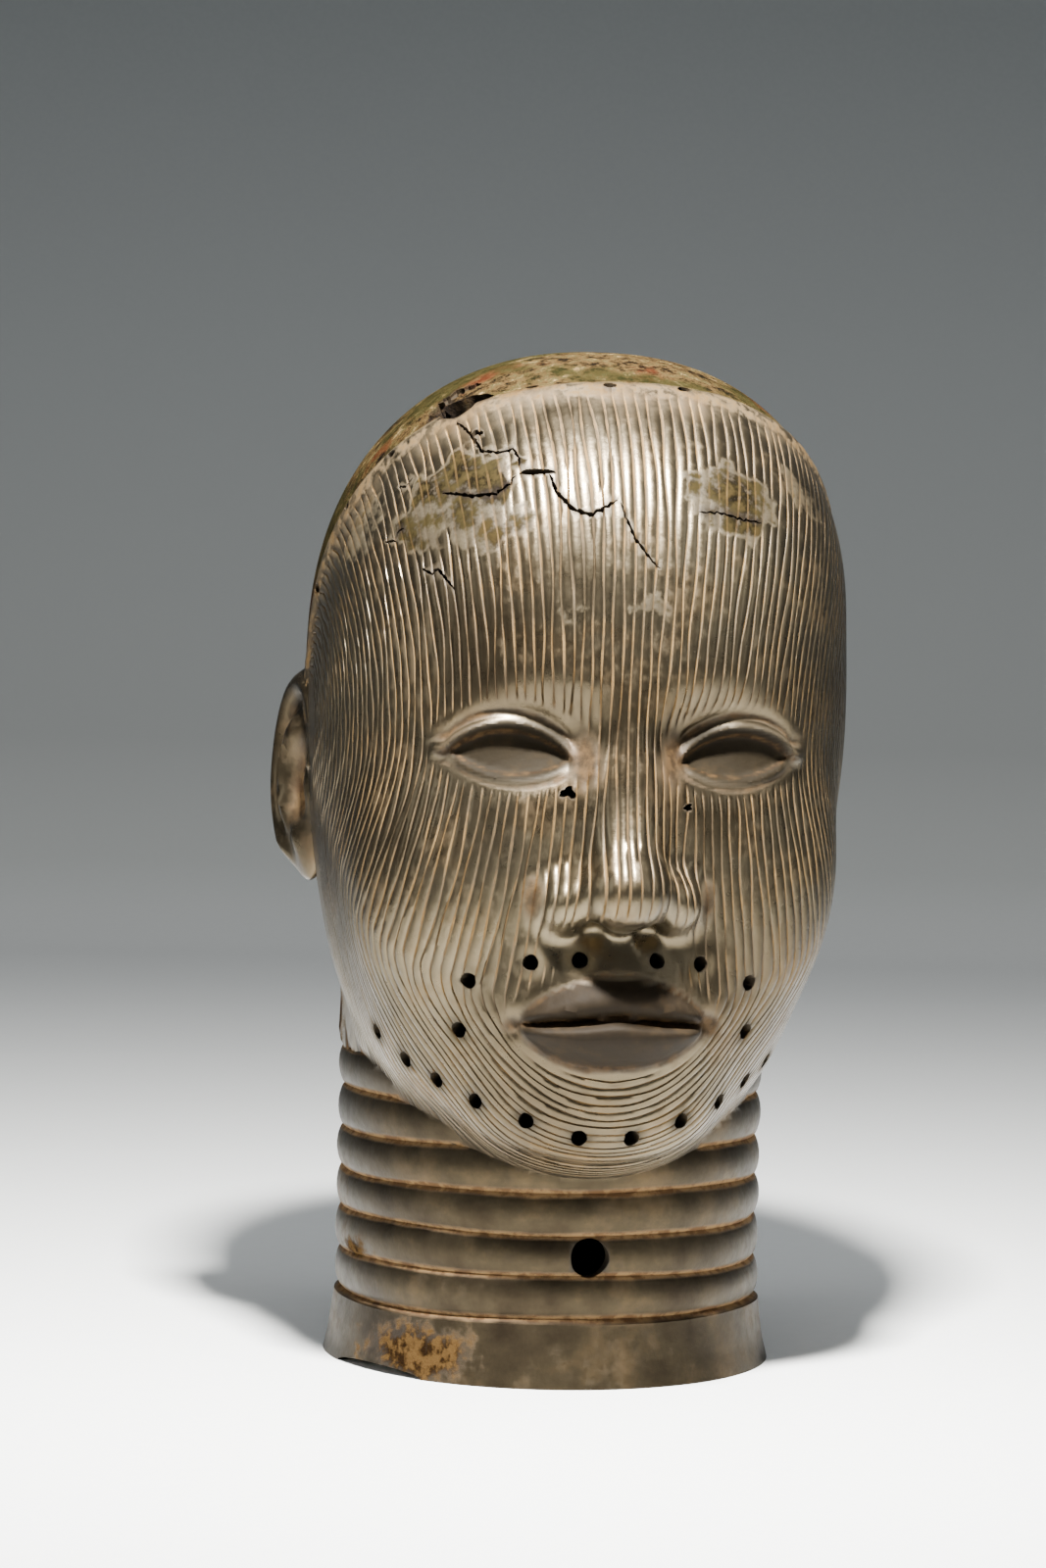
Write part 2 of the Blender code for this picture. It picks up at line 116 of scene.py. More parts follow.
# Cracks: how wide, then degrees to the side and up from straight ahead of the middle of the head
CRACKS = [
    (6.5, [(-27.8, 68.6), (-25.8, 71.6), (-22.8, 73.6), (-19.2, 71.6)]),
    (1.2, [(-24.4, 62.0), (-23.8, 60.4), (-22.8, 56.8), (-21.7, 51.5), (-19.1, 49.6), (-17.2, 49.4),
           (-16.6, 47.1), (-16.8, 45.9)]),
    (1.4, [(-12.6, 42.9), (-12.0, 40.0), (-9.9, 36.9), (-7.4, 35.7), (-5.3, 36.7), (-3.4, 37.9)]),
    (0.9, [(-2.9, 37.4), (-2.3, 35.4), (-0.9, 32.0), (1.7, 28.7), (3.0, 27.6)]),
    (1.2, [(-17.5, 44.4), (-18.3, 43.2), (-20.6, 42.2), (-24.1, 43.5), (-28.7, 47.3)]),
    (0.8, [(8.8, 36.8), (12.2, 37.3), (16.0, 37.2), (19.4, 37.9)]),
    (1.0, [(-40.8, 47.6), (-38.8, 45.6), (-37.6, 46.9), (-36.4, 46.2)]),
    (1.0, [(-34.6, 35.4), (-32.8, 33.2), (-31.6, 33.6), (-30.2, 30.6), (-29.2, 28.6)]),
    (0.9, [(-35.8, 57.6), (-34.6, 55.6), (-33.0, 56.2)]),
]
CRACK_WIDTH = 0.0006
CRACK_DEPTH = 0.0026

# Corroded places in the world: the middle and how far each one reaches
RUST_PLACES = [((-0.056, -0.042, 0.008), (0.026, 0.024, 0.010)),
               ((-0.0624, -0.0092, 0.034), (0.006, 0.012, 0.004))]

# Lids and lips in form units: middle of an eye, half its width, and how far the corner of the mouth is out
EYE_SIDE = 31.0
EYE_LEVEL = 118.0
EYE_HALF = 16.5
MOUTH_CORNER = 26.0
MOUTH_CENTRE = 45.0
MOUTH_TOP = 66.0
EYE_BOTTOM = 80.0

# Points nearer than this, in metres, are one point
SAME_POINT = 2e-6
# Points farther than this from the uncut skin, in metres, are on a cut
NEW_POINT = 2e-5
# Faces under this area, in square metres, are dropped
LEAST_FACE = 1e-13
# What stands for far behind the hairline, in form units
FAR_FROM_CAP = 60.0


def smooth_step(low, high, x):
    t = np.clip((x - low) / (high - low), 0.0, 1.0)
    return t * t * (3.0 - 2.0 * t)


def ridge(distance, width):
    return np.exp(-(distance / width) ** 2)


def ellipsoid(p, centre, radii, power=2.0):
    """About the distance to an ellipsoid, which a power over 2 makes squarer."""
    radii = np.array(radii, float)
    q = np.abs(p - np.array(centre)) / radii
    reach = np.maximum((q ** power).sum(axis=1) ** (1.0 / power), 1e-6)
    slope = np.linalg.norm(q ** (power - 1.0) / radii, axis=1) / reach ** (power - 1.0)
    return (reach - 1.0) / np.maximum(slope, 1e-9)


def tapered_bar(p, start, end, start_radius, end_radius):
    start, end = np.array(start, float), np.array(end, float)
    along = end - start
    t = np.clip((p - start) @ along / (along @ along), 0.0, 1.0)
    away = np.linalg.norm(p - start - t[:, None] * along, axis=1)
    return away - (start_radius + (end_radius - start_radius) * t)


def blend(a, b, softness):
    t = np.clip(0.5 + 0.5 * (b - a) / softness, 0.0, 1.0)
    return b + (a - b) * t - softness * t * (1.0 - t)


def hollow(a, b, softness):
    return -blend(-a, b, softness)


def neck_column(p):
    """The plain neck, an upright oval column: inside the rolls, flush with them above, then narrowing."""
    height = p[:, 2] * SCALE[2] + NECK_HEIGHT - RINGS_TOP
    inset = (GROOVE_DEPTH + COLUMN_GAP) * smooth_step(0.003, -0.003, height)
    inset = inset + 0.25 * NECK_WIDTH * smooth_step(0.0, 1.2 * NECK_HEIGHT, height)
    half_width = (NECK_WIDTH / 2 - inset) / SCALE[0]
    half_depth = (NECK_DEPTH / 2 - inset) / SCALE[1]
    across = np.hypot(p[:, 0] / half_width, (p[:, 1] - NECK_SETBACK / SCALE[1]) / half_depth)
    ends = np.maximum(p[:, 2] - 105.0, -p[:, 2] - 0.7 * NECK_HEIGHT / SCALE[2])
    return np.maximum((across - 1.0) * half_width, ends)


def skull_distance(p):
    """The large masses of the head."""
    m = np.column_stack([np.abs(p[:, 0]), p[:, 1:]])
    d = ellipsoid(m, (0, 8.5, 150), (76.5, 96.5, 87), 2.28)
    d = blend(d, ellipsoid(m, (0, -8, 90), (72, 77, 90)), 24)
    d = blend(d, ellipsoid(m, (0, -36, 46), (54, 46, 45)), 20)
    return d


def head_distance(p):
    """Signed distance to the head, negative inside, without the fine relief."""
    m = np.column_stack([np.abs(p[:, 0]), p[:, 1:]])
    d = skull_distance(p)
    # Cheekbones and eye sockets
    d = blend(d, ellipsoid(m, (35, -50, 80), (28, 25, 30)), 22)
    d = hollow(d, ellipsoid(m, (27, -90, 121.5), (20, 12, 10)), 12)
    # Mouth mass and chin
    d = blend(d, ellipsoid(m, (0, -66, 47), (30, 22.5, 20)), 14)
    d = blend(d, ellipsoid(m, (0, -62, 18), (27, 18, 15)), 22)
    # Nose: bridge, tip, wings and nostrils
    d = blend(d, tapered_bar(m, (0, -77, 124), (0, -92, 84), 7.0, 9.5), 11)
    d = blend(d, ellipsoid(m, (0, -94, 80), (11.8, 12.5, 10.0)), 6)
    d = blend(d, ellipsoid(m, (15, -84.0, 77), (7.5, 10.5, 8)), 6)
    d = hollow(d, ellipsoid(m, (7.6, -89, 68.5), (3.8, 5.4, 4.0)), 2)
    # Eyeballs
    d = blend(d, ellipsoid(m, (31, -60.5, 118), (17, 14.8, 13.5)), 3)
    # Nape, where the neck runs up into the head
    softness = 5.0 + 17.0 * smooth_step(-10.0, 45.0, p[:, 1])
    return blend(d, neck_column(p), softness)


def core_distance(p):
    """The empty inside: one wall in from both the plain skull and the face."""
    return np.maximum(skull_distance(p), head_distance(p)) + WALL / SCALE[2]


def on_surface(distance, directions, near=30.0, far=190.0):
    """Where rays from the middle of the head cross a form: halving, then a straight line between the ends."""
    low = np.full(len(directions), near)
    high = np.full(len(directions), far)
    for _ in range(13):
        middle = (low + high) / 2
        inside = distance(FORM_CENTRE + directions * middle[:, None]) < 0
        low = np.where(inside, middle, low)
        high = np.where(inside, high, middle)
    inner = distance(FORM_CENTRE + directions * low[:, None])
    outer = distance(FORM_CENTRE + directions * high[:, None])
    share = np.clip(-inner / np.maximum(outer - inner, 1e-9), 0.0, 1.0)
    return FORM_CENTRE + directions * (low + (high - low) * share)[:, None]


def lid_lines(x, z):
    """Places from the middle of an eye, how far out along it, and its lids' lines with the outer tail."""
    ex = x - EYE_SIDE
    ez = z - EYE_LEVEL - 0.06 * ex
    t = np.clip(ex / EYE_HALF, -1.0, 1.0)
    upper = 7.6 * (1 - t ** 2) ** 0.85 - 0.8
    lower = -5.6 * (1 - t ** 2) ** 0.95 - 0.8
    tail = -0.32 * np.clip(ex - EYE_HALF + 1.5, 0.0, 9.0)
    return ex, ez, t, upper, lower, tail


def lip_lines(x, z):
    """How far out along the mouth, the height over its middle line, and how far the lips open there."""
    t = np.clip(x / MOUTH_CORNER, 0.0, 1.3)
    mz = z - (MOUTH_CENTRE + 1.0 * ridge(x, 7.0) - 1.6 * t ** 2)
    return t, mz, np.clip(1 - t ** 2, 0.0, 1.0)


def eye_relief(x, z):
    """Lids round almond eyes, as a height over the smooth eye."""
    ex, ez, t, upper, lower, tail = lid_lines(x, z)
    lean = np.cos(np.arctan(0.62 * np.abs(t)))
    reach = smooth_step(EYE_HALF + 6.0, EYE_HALF, ex) * smooth_step(-EYE_HALF - 2.0, -EYE_HALF + 2.0, ex)
    h = 2.1 * ridge((ez - upper - tail - 1.3) * lean, 1.7) * reach
    within = smooth_step(EYE_HALF - 0.5, EYE_HALF - 4.0, np.abs(ex))
    h += 1.0 * ridge((ez - lower + 1.0) * lean, 1.15) * within
    h -= 0.9 * ridge((ez - upper - tail - 5.0) * lean, 1.8) * reach
    h -= 0.9 * smooth_step(0.2, 1.2, upper - ez) * smooth_step(0.2, 1.2, ez - lower)
    return h * (z > EYE_BOTTOM)


def mouth_relief(x, z):
    """Closed lips, as a height over the smooth mouth."""
    t, mz, open_span = lip_lines(x, z)
    upper = 11.0 * open_span ** 0.8 * (1 - 0.16 * ridge(x, 4.5))
    lower = 13.0 * open_span ** 0.8
    u = np.clip(mz / np.maximum(upper, 0.5), 0.0, 1.0)
    v = np.clip(-mz / np.maximum(lower, 0.5), 0.0, 1.0)
    full = smooth_step(0.0, 0.45, open_span)
    h = 1.4 * smooth_step(-1.1, 1.5, upper - mz) * smooth_step(-1.1, 1.5, lower + mz)
    h *= smooth_step(1.05, 0.95, t)
    h += np.where(mz > 0, 3.0 * np.sin(np.pi * u ** 0.75), 4.2 * np.sin(np.pi * v ** 0.62)) * full
    h -= 2.4 * ridge(mz, 1.7) * smooth_step(1.06, 0.9, t)
    h -= 1.0 * ridge(np.hypot(x - MOUTH_CORNER - 0.5, mz * 0.8), 2.6)
    return h * (z < MOUTH_TOP)


def hairline(p):
    """Signed distance from the front edge of the smooth cap, positive on the cap."""
    rise = np.clip(p[:, 2] - 145.0, 0.0, None) / 77.0
    slope = 1.58 * rise
    return (p[:, 1] - 8.0 + 61.0 * rise ** 2) / np.sqrt(1.0 + slope ** 2)


def add_relief(p):
    """Moves the points of the smooth form out to its lids, lips and the edge of the cap."""
    x, z = np.abs(p[:, 0]), p[:, 2]
    front = smooth_step(10.0, 40.0, -p[:, 1])
    height = (eye_relief(x, z) + mouth_relief(x, z)) * front
    forward = np.column_stack([0.012 * p[:, 0], -np.ones(len(p)), np.zeros(len(p))])
    forward /= np.linalg.norm(forward, axis=1)[:, None]
    out = p - FORM_CENTRE
    out /= np.linalg.norm(out, axis=1)[:, None]
    edge = 1.2 * ridge(hairline(p), 2.8) * smooth_step(118.0, 135.0, z)
    return p + forward * height[:, None] + out * edge[:, None]


def upright(p):
    """Form units to metres, with the head above the neck and its depth even about the origin."""
    q = p * SCALE
    q[:, 1] -= MIDDLE
    q[:, 2] += NECK_HEIGHT
    return q


def leaned(q):
    """The head leans a little to its left, from the top rolls of the neck up."""
    lift = np.clip(q[:, 2] - LEAN_HEIGHT, 0.0, None)
    aside = ASIDE + lift * lift / (lift + LEAN_EASE) * math.tan(math.radians(HEAD_LEAN))
    return q + np.column_stack([aside, np.zeros(len(q)), np.zeros(len(q))])


def placed(p):
    return leaned(upright(p))


def middle_of_depth():
    """How far the middle between the tip of the nose and the back of the skull is from the form's origin."""
    angles = np.radians(np.linspace(-60.0, 60.0, 601))
    front = np.column_stack([np.zeros(601), -np.cos(angles), np.sin(angles)])
    nose = on_surface(head_distance, front)[:, 1].min()
    back = on_surface(head_distance, front * (1, -1, 1))[:, 1].max()
    return (nose + back) / 2 * SCALE[1]


MIDDLE = middle_of_depth()


def way_out(side_angle, up_angle):
    """Unit directions from the middle of the head, from degrees to the side and degrees up over the brow."""
    side, up = np.radians(side_angle), np.radians(up_angle)
    return np.stack([np.sin(side), -np.cos(side) * np.cos(up), np.cos(side) * np.sin(up)], axis=-1)


def line_bend(f, along, side, middle_share):
    """The unsteady hand in the engraved lines, in degrees; nothing on the middle line of the face."""
    easy = 0.15 * np.sin(0.17 * along + 0.83 * f) + 0.08 * np.sin(0.41 * along - 1.9 * f + 1.0)
    uneven = 0.12 * np.sin(0.23 * along + 1.37 * f + 2.0) * side * middle_share
    return (easy + uneven) * smooth_step(0.0, 3.0, f) * smooth_step(82.0, 76.0, f)


def smooth_places(p):
    """Where the face is not engraved: 1 on eyes, lips, under the nose and by the neck, 0 elsewhere."""
    x, z = np.abs(p[:, 0]), p[:, 2]
    front = p[:, 1] < 0
    eye = np.hypot((x - EYE_SIDE) / 22.5, (z - EYE_LEVEL - 1.5 - 0.05 * (x - EYE_SIDE)) / 13.0)
    lips = np.hypot(x / 29.5, (z - 44.5) / 15.5)
    philtrum = np.hypot(x / 22.0, (z - 64.0) / 9.5)
    smooth = np.maximum(smooth_step(1.06, 0.92, eye) * front, smooth_step(1.06, 0.94, lips) * front)
    smooth = np.maximum(smooth, smooth_step(1.1, 0.9, philtrum) * (p[:, 1] < -60))
    smooth = np.maximum(smooth, smooth_step(-5.5, -3.0, hairline(p)))
    return np.maximum(smooth, smooth_step(3.5, 1.5, neck_column(p)))


def crease_places(p):
    """Where dirt gathers: along the lids, in the corners of the eyes, round the lips and the nose's wings."""
    x, z = np.abs(p[:, 0]), p[:, 2]
    ex, ez, t, upper, lower, tail = lid_lines(x, z)
    reach = smooth_step(EYE_HALF + 8.0, EYE_HALF, ex) * smooth_step(-EYE_HALF - 5.0, -EYE_HALF, ex)
    crease = 0.9 * ridge(ez - upper + 0.9, 0.9) * reach
    crease = np.maximum(crease, 0.85 * ridge(ez - upper - tail - 4.6, 1.7) * reach)
    crease = np.maximum(crease, 0.7 * ridge(ez - lower - 0.6, 0.8) * reach)
    crease = np.maximum(crease, 0.7 * ridge(ez - lower + 3.2, 1.4) * reach)
    crease = np.maximum(crease, ridge(np.hypot(ex + EYE_HALF + 2.5, ez * 0.55), 5.5))
    crease = crease * (z > EYE_BOTTOM)
    t, mz, open_span = lip_lines(x, z)
    over, under = 11.0 * open_span ** 0.8, 13.0 * open_span ** 0.8
    near = smooth_step(1.25, 1.0, x / MOUTH_CORNER)
    mouth = np.maximum(ridge(mz, 1.3), 0.75 * ridge(mz - over - 1.3, 1.5))
    mouth = np.maximum(mouth, 0.75 * ridge(mz + under + 1.5, 1.8)) * near
    mouth = np.maximum(mouth, ridge(np.hypot(x - MOUTH_CORNER - 1.0, mz), 4.0)) * (z < MOUTH_TOP)
    wing = ridge(np.hypot(x - 24.0, (z - 78.0) * 0.45), 3.6)
    under_nose = 0.3 * smooth_step(1.15, 0.8, np.hypot(x / 21.0, (z - 68.5) / 5.5))
    return np.maximum(np.maximum(crease, mouth), np.maximum(wing, under_nose)) * (p[:, 1] < -20)


def worn_places(side_angle, up_angle):
    worn = np.zeros(len(side_angle))
    for side, up, half_width, half_height, strength in WORN_PLACES:
        away = np.hypot((side_angle - side) / half_width, (up_angle - up) / half_height)
        ragged = 0.13 * np.sin(0.9 * side_angle + 0.4 * up_angle)
        ragged = ragged + 0.10 * np.sin(1.7 * up_angle - 0.8 * side_angle)
        worn = np.maximum(worn, strength * smooth_step(1.12, 0.82, away + ragged))
    return worn


def face_columns():
    """Angles of the columns: four to each engraved line, then a few wide ones under the ear."""
    fine = [(line + phase) * LINE_PITCH for line in range(LINE_COUNT) for phase in LINE_PHASES]
    last = LINE_COUNT * LINE_PITCH
    return np.array(fine + list(np.linspace(last, 90.0, 6)))


def face_rows():
    spans = [(MOUTH_LEVEL, -28.0, 17), (-28.0, -13.0, 17), (-13.0, 10.0, 38), (10.0, 60.0, 26),
             (60.0, 97.0, 30)]
    rows = [np.linspace(start, end, count, endpoint=False) for start, end, count in spans]
    return np.concatenate(rows + [[97.0]])


def below_mouth(f):
    """How far down the line that is f to the side at mouth level reaches under the chin, in degrees."""
    return 0.42 * f + 0.0024 * f ** 2


def zip_rows(one, other, one_places, other_places):
    """Triangles between two rows of points that run the same way but have unlike spacing."""
    faces = []
    i = j = 0
    while i < len(one) - 1 or j < len(other) - 1:
        if j == len(other) - 1 or (i < len(one) - 1 and one_places[i + 1] <= other_places[j + 1]):
            faces.append((one[i], one[i + 1], other[j]))
            i += 1
        else:
            faces.append((one[i], other[j + 1], other[j]))
            j += 1
    return faces


def strip_faces(start, width, rows):
    """The four-sided faces of a plain grid of points."""
    faces = []
    for row in range(rows - 1):
        base = start + row * width
        faces += [(base + i, base + i + 1, base + width + i + 1, base + width + i) for i in range(width - 1)]
    return faces


def half_sheet(side):
    """One half of the head's skin: rows under the mouth, up the face and, coarser, over the back."""
    columns = face_columns()
    turns = np.linspace(90.0, 0.0, MOUTH_ROWS, endpoint=False)
    ups = face_rows()
    shares = np.linspace(0.0, 1.0, BACK_ROWS + 1)[1:]
    coarse = list(range(0, 4 * LINE_COUNT, 4)) + list(range(4 * LINE_COUNT, len(columns)))
    angles = []
    lines = []
    for turn in turns:
        share = math.cos(math.radians(turn))
        f = columns + line_bend(columns, MOUTH_LEVEL - 0.6 * turn, side, share)
        level = MOUTH_LEVEL - below_mouth(f) * math.sin(math.radians(turn))
        angles.append(np.column_stack([side * f * share, level]))
        lines.append(columns)
    for up in ups:
        f = columns + line_bend(columns, up, side, 1.0)
        angles.append(np.column_stack([side * f, np.full(len(f), up)]))
        lines.append(columns)
    meets = 360.0 + MOUTH_LEVEL - below_mouth(90.0) * np.sqrt(1.0 - (columns[coarse] / 90.0) ** 2) - SEAM_GAP
    for share in shares:
        angles.append(np.column_stack([side * columns[coarse], ups[-1] + share * (meets - ups[-1])]))
        lines.append(columns[coarse])
    wide, narrow = len(columns), len(coarse)
    fine_rows = len(turns) + len(ups)
    faces = strip_faces(0, wide, fine_rows)
    top = (fine_rows - 1) * wide
    start = fine_rows * wide
    for i in range(narrow - 1):
        below = [top + k for k in range(coarse[i], coarse[i + 1] + 1)]
        faces.append((*below, start + i + 1, start + i))
    faces += strip_faces(start, narrow, BACK_ROWS)
    front = [row * wide + wide - 1 for row in range(len(turns) + 1)]
    front_sides = [90.0 * math.cos(math.radians(turn)) for turn in turns] + [90.0]
    last = start + (BACK_ROWS - 1) * narrow
    faces += zip_rows(list(range(last, last + narrow)), front, columns[coarse], front_sides)
    return np.concatenate(angles), np.concatenate(lines), faces


def new_mesh_object(name, points, faces):
    mesh = bpy.data.meshes.new(name)
    mesh.from_pydata([tuple(point) for point in points], [], faces)
    thing = bpy.data.objects.new(name, mesh)
    bpy.context.scene.collection.objects.link(thing)
    return thing


def solid_object(name, bm):
    """An object from a working mesh, with its faces turned outwards; the working mesh is freed."""
    bm.normal_update()
    bmesh.ops.recalc_face_normals(bm, faces=bm.faces)
    thing = new_mesh_object(name, [], [])
    bm.to_mesh(thing.data)
    bm.free()
    return thing


def set_floats(mesh, name, values):
    layer = mesh.attributes.get(name) or mesh.attributes.new(name, 'FLOAT', 'POINT')
    layer.data.foreach_set("value", np.asarray(values, dtype=np.float32))


def get_floats(mesh, name):
    values = np.zeros(len(mesh.vertices), dtype=np.float32)
    mesh.attributes[name].data.foreach_get("value", values)
    return values


def get_points(mesh):
    values = np.zeros(len(mesh.vertices) * 3, dtype=np.float32)
    mesh.vertices.foreach_get("co", values)
    return values.reshape(-1, 3)


MARKS = ("stria", "lined", "cap", "worn", "lips", "eye", "groove", "neck", "crease", "inside")


def make_skin():
    """The head's outer skin with its engraved lines, closed at the bottom inside the neck."""
    angles, lines, faces = [], [], []
    count = 0
    for side in (1, -1):
        half_angles, half_lines, half_faces = half_sheet(side)
        angles.append(half_angles)
        lines.append(half_lines)
        faces += [tuple(i + count for i in (face if side > 0 else face[::-1])) for face in half_faces]
        count += len(half_angles)
    angles = np.concatenate(angles)
    lines = np.concatenate(lines)
    form = on_surface(head_distance, way_out(angles[:, 0], angles[:, 1]))
    x, z = np.abs(form[:, 0]), form[:, 2]
    ahead = form[:, 1] < 0
    worn = worn_places(angles[:, 0], angles[:, 1])
    lined = (1.0 - smooth_places(form)) * (1.0 - worn)
    lined *= smooth_step(LINE_COUNT * LINE_PITCH, (LINE_COUNT - 2) * LINE_PITCH, lines)
    phase = lines / LINE_PITCH
    cut = (np.abs(phase - np.floor(phase) - 0.5) < 0.02).astype(float)
    strength = 0.82 + 0.18 * np.sin(0.21 * angles[:, 1] + 2.1 * np.floor(phase))
    marks = {
        "stria": phase,
        "lined": lined,
        "cap": np.clip(hairline(form), -FAR_FROM_CAP, FAR_FROM_CAP),
        "worn": worn,
        "lips": smooth_step(1.0, 0.9, np.hypot(x / 26.5, (z - 44.0) / 13.5)) * ahead,
        "eye": smooth_step(1.1, 0.8, np.hypot((x - EYE_SIDE) / 17.5, (z - EYE_LEVEL) / 9.0)) * ahead,
        "groove": np.zeros(len(form)),
        "neck": smooth_step(6.0, 1.0, neck_column(form)) * (form[:, 2] < 30),
        "crease": crease_places(form),
        "inside": np.zeros(len(form)),
        "depth": cut * lined * strength * LINE_DEPTH,
    }
    skin = new_mesh_object("skin", placed(add_relief(form)), faces)
    for name, values in marks.items():
        set_floats(skin.data, name, values)
    bm = bmesh.new()
    bm.from_mesh(skin.data)
    bmesh.ops.remove_doubles(bm, verts=bm.verts, dist=SAME_POINT)
    flat = [face for face in bm.faces if face.calc_area() < LEAST_FACE]
    bmesh.ops.delete(bm, geom=flat, context='FACES_ONLY')
    rim = [edge for edge in bm.edges if edge.is_boundary]
    bmesh.ops.holes_fill(bm, edges=rim, sides=0)
    bmesh.ops.recalc_face_normals(bm, faces=bm.faces)
    bm.to_mesh(skin.data)
    bm.free()
    points = get_points(skin.data)
    normals = np.zeros(len(points) * 3, dtype=np.float32)
    skin.data.vertex_normals.foreach_get("vector", normals)
    points = points - normals.reshape(-1, 3) * get_floats(skin.data, "depth")[:, None]
    skin.data.vertices.foreach_set("co", points.ravel())
    skin.data.update()
    return skin


def mark_plain(thing, **given):
    """Marks for a piece that has no engraved lines."""
    count = len(thing.data.vertices)
    for name in MARKS:
        start = -FAR_FROM_CAP if name == "cap" else 0.0
        set_floats(thing.data, name, given.get(name, np.full(count, start)))


def neck_rows():
    """Radius, height and dirt up the neck's outside: a flared base band, then rolls between grooves."""
    half = NECK_WIDTH / 2
    rows = []
    for share in np.linspace(0.0, 1.0, 8)[:-1]:
        flare = np.interp(share, [0.0, 0.3, 0.75, 1.0], [1.0, 0.55, 0.2, 0.0])
        soften = smooth_step(0.93, 1.0, share) * GROOVE_DEPTH
        rows.append((half + BASE_FLARE * flare - soften, share * BASE_BAND, 0.0))
    rows.append((half + 0.0002, BASE_BAND * 0.93, 0.3))
    rows.append((half - GROOVE_DEPTH, BASE_BAND, 1.0))
    for roll in range(GROOVES):
        foot = BASE_BAND + roll * GROOVE_PITCH
        for step in range(1, ROLL_STEPS):
            share = 0.5 - 0.5 * math.cos(math.pi * step / ROLL_STEPS) * 0.92
            swell = math.sin(math.pi * share) ** 0.6
            dirt = 1.0 - smooth_step(0.0, 0.17, min(share, 1.0 - share))
            rows.append((half - GROOVE_DEPTH * (1 - swell), foot + share * GROOVE_PITCH, float(dirt)))
        rows.append((half - GROOVE_DEPTH, foot + GROOVE_PITCH, 1.0))
    return rows


def make_neck():
    rows = neck_rows()
    turn = np.linspace(0.0, 2.0 * math.pi, NECK_SEGMENTS, endpoint=False)
    points = []
    dirt = []
    for radius, height, dirty in rows:
        level = height / GROOVE_PITCH
        free = float(smooth_step(0.0, 0.012, height))
        free *= float(smooth_step(RINGS_TOP, RINGS_TOP - 0.006, height))
        r = radius - free * (0.00022 + 0.00022 * np.sin(3 * turn + 1.7 * level) * np.cos(2.0 * turn - level))
        lift = free * 0.00035 * (np.sin(2 * turn + 2.1 * level) + 0.6 * np.sin(5 * turn - 1.3 * level))
        deep = r * np.sin(turn) * NECK_DEPTH / NECK_WIDTH
        points.append(np.column_stack([r * np.cos(turn), deep, height + lift]))
        dirt += [dirty] * NECK_SEGMENTS
    points = np.concatenate(points)
    points[:, 0] += ASIDE
    points[:, 1] += NECK_SETBACK - MIDDLE
    faces = []
    for row in range(len(rows) - 1):
        base = row * NECK_SEGMENTS
        for i in range(NECK_SEGMENTS):
            j = (i + 1) % NECK_SEGMENTS
            faces.append((base + i, base + j, base + NECK_SEGMENTS + j, base + NECK_SEGMENTS + i))
    last = (len(rows) - 1) * NECK_SEGMENTS
    faces.append(tuple(range(NECK_SEGMENTS))[::-1])
    faces.append(tuple(range(last, last + NECK_SEGMENTS)))
    neck = new_mesh_object("neck", points, faces)
    cap = np.clip(hairline(as_form(points)), -FAR_FROM_CAP, FAR_FROM_CAP)
    mark_plain(neck, groove=dirt, neck=np.ones(len(points)), cap=cap)
    return neck


def ear_relief(u, v):
    """Folds of a plain ear over its unit disc, u to the rear and v up, as shares of its thickness."""
    r = np.hypot(u, v)
    angle = np.degrees(np.arctan2(v, u))
    whole_turn = np.where(angle < -90, angle + 360, angle)
    rim_part = smooth_step(-75.0, -45.0, angle) * smooth_step(215.0, 190.0, whole_turn)
    h = 0.30 * ridge(r - 0.86, 0.14) * rim_part
    h -= 0.10 * ridge(r - 0.64, 0.10) * smooth_step(-60.0, -30.0, angle) * smooth_step(150.0, 110.0, angle)
    inner = np.hypot(u + 0.18, v + 0.10)
    h += 0.20 * ridge(inner - 0.52, 0.15) * smooth_step(-80.0, -40.0, angle) * smooth_step(140.0, 90.0, angle)
    h -= 0.34 * smooth_step(0.5, 0.1, inner)
    h += 0.16 * ridge(np.hypot(u + 0.62, v + 0.14), 0.2)
    h += 0.14 * ridge(np.hypot(u + 0.14, v + 0.58), 0.2)
    return h


def make_ears():
    flare = Matrix.Rotation(math.radians(-EAR_FLARE), 3, 'Z')
    tilt = Matrix.Rotation(math.radians(-EAR_TILT), 3, 'X') @ flare
    seat = upright(on_surface(skull_distance, EAR_DIRECTION))[0]
    seat[0] += EAR_THICKNESS / 2 - EAR_SINK
    ears = []
    for side in (1, -1):
        bm = bmesh.new()
        bmesh.ops.create_uvsphere(bm, u_segments=48, v_segments=30, radius=1.0)
        u, v, out = np.array([vert.co for vert in bm.verts]).T
        low = np.clip(-v, 0.0, 1.0)
        rear = (u * (1 - 0.26 * low ** 1.4) - 0.16 * low ** 2 + 0.05) * EAR_WIDTH / 2
        relief = ear_relief(u, v)
        thick = out * 0.5 * EAR_THICKNESS + relief * EAR_THICKNESS * smooth_step(0.0, 0.1, out)
        local = np.column_stack([thick, rear, v * EAR_HEIGHT / 2])
        points = leaned((local @ np.array(tilt).T + seat) * (side, 1, 1))
        for vert, point in zip(bm.verts, points):
            vert.co = point
        ear = solid_object("ear", bm)
        mark_plain(ear, groove=np.clip(0.3 - 1.6 * relief, 0.0, 0.75))
        ears.append(ear)
    return ears


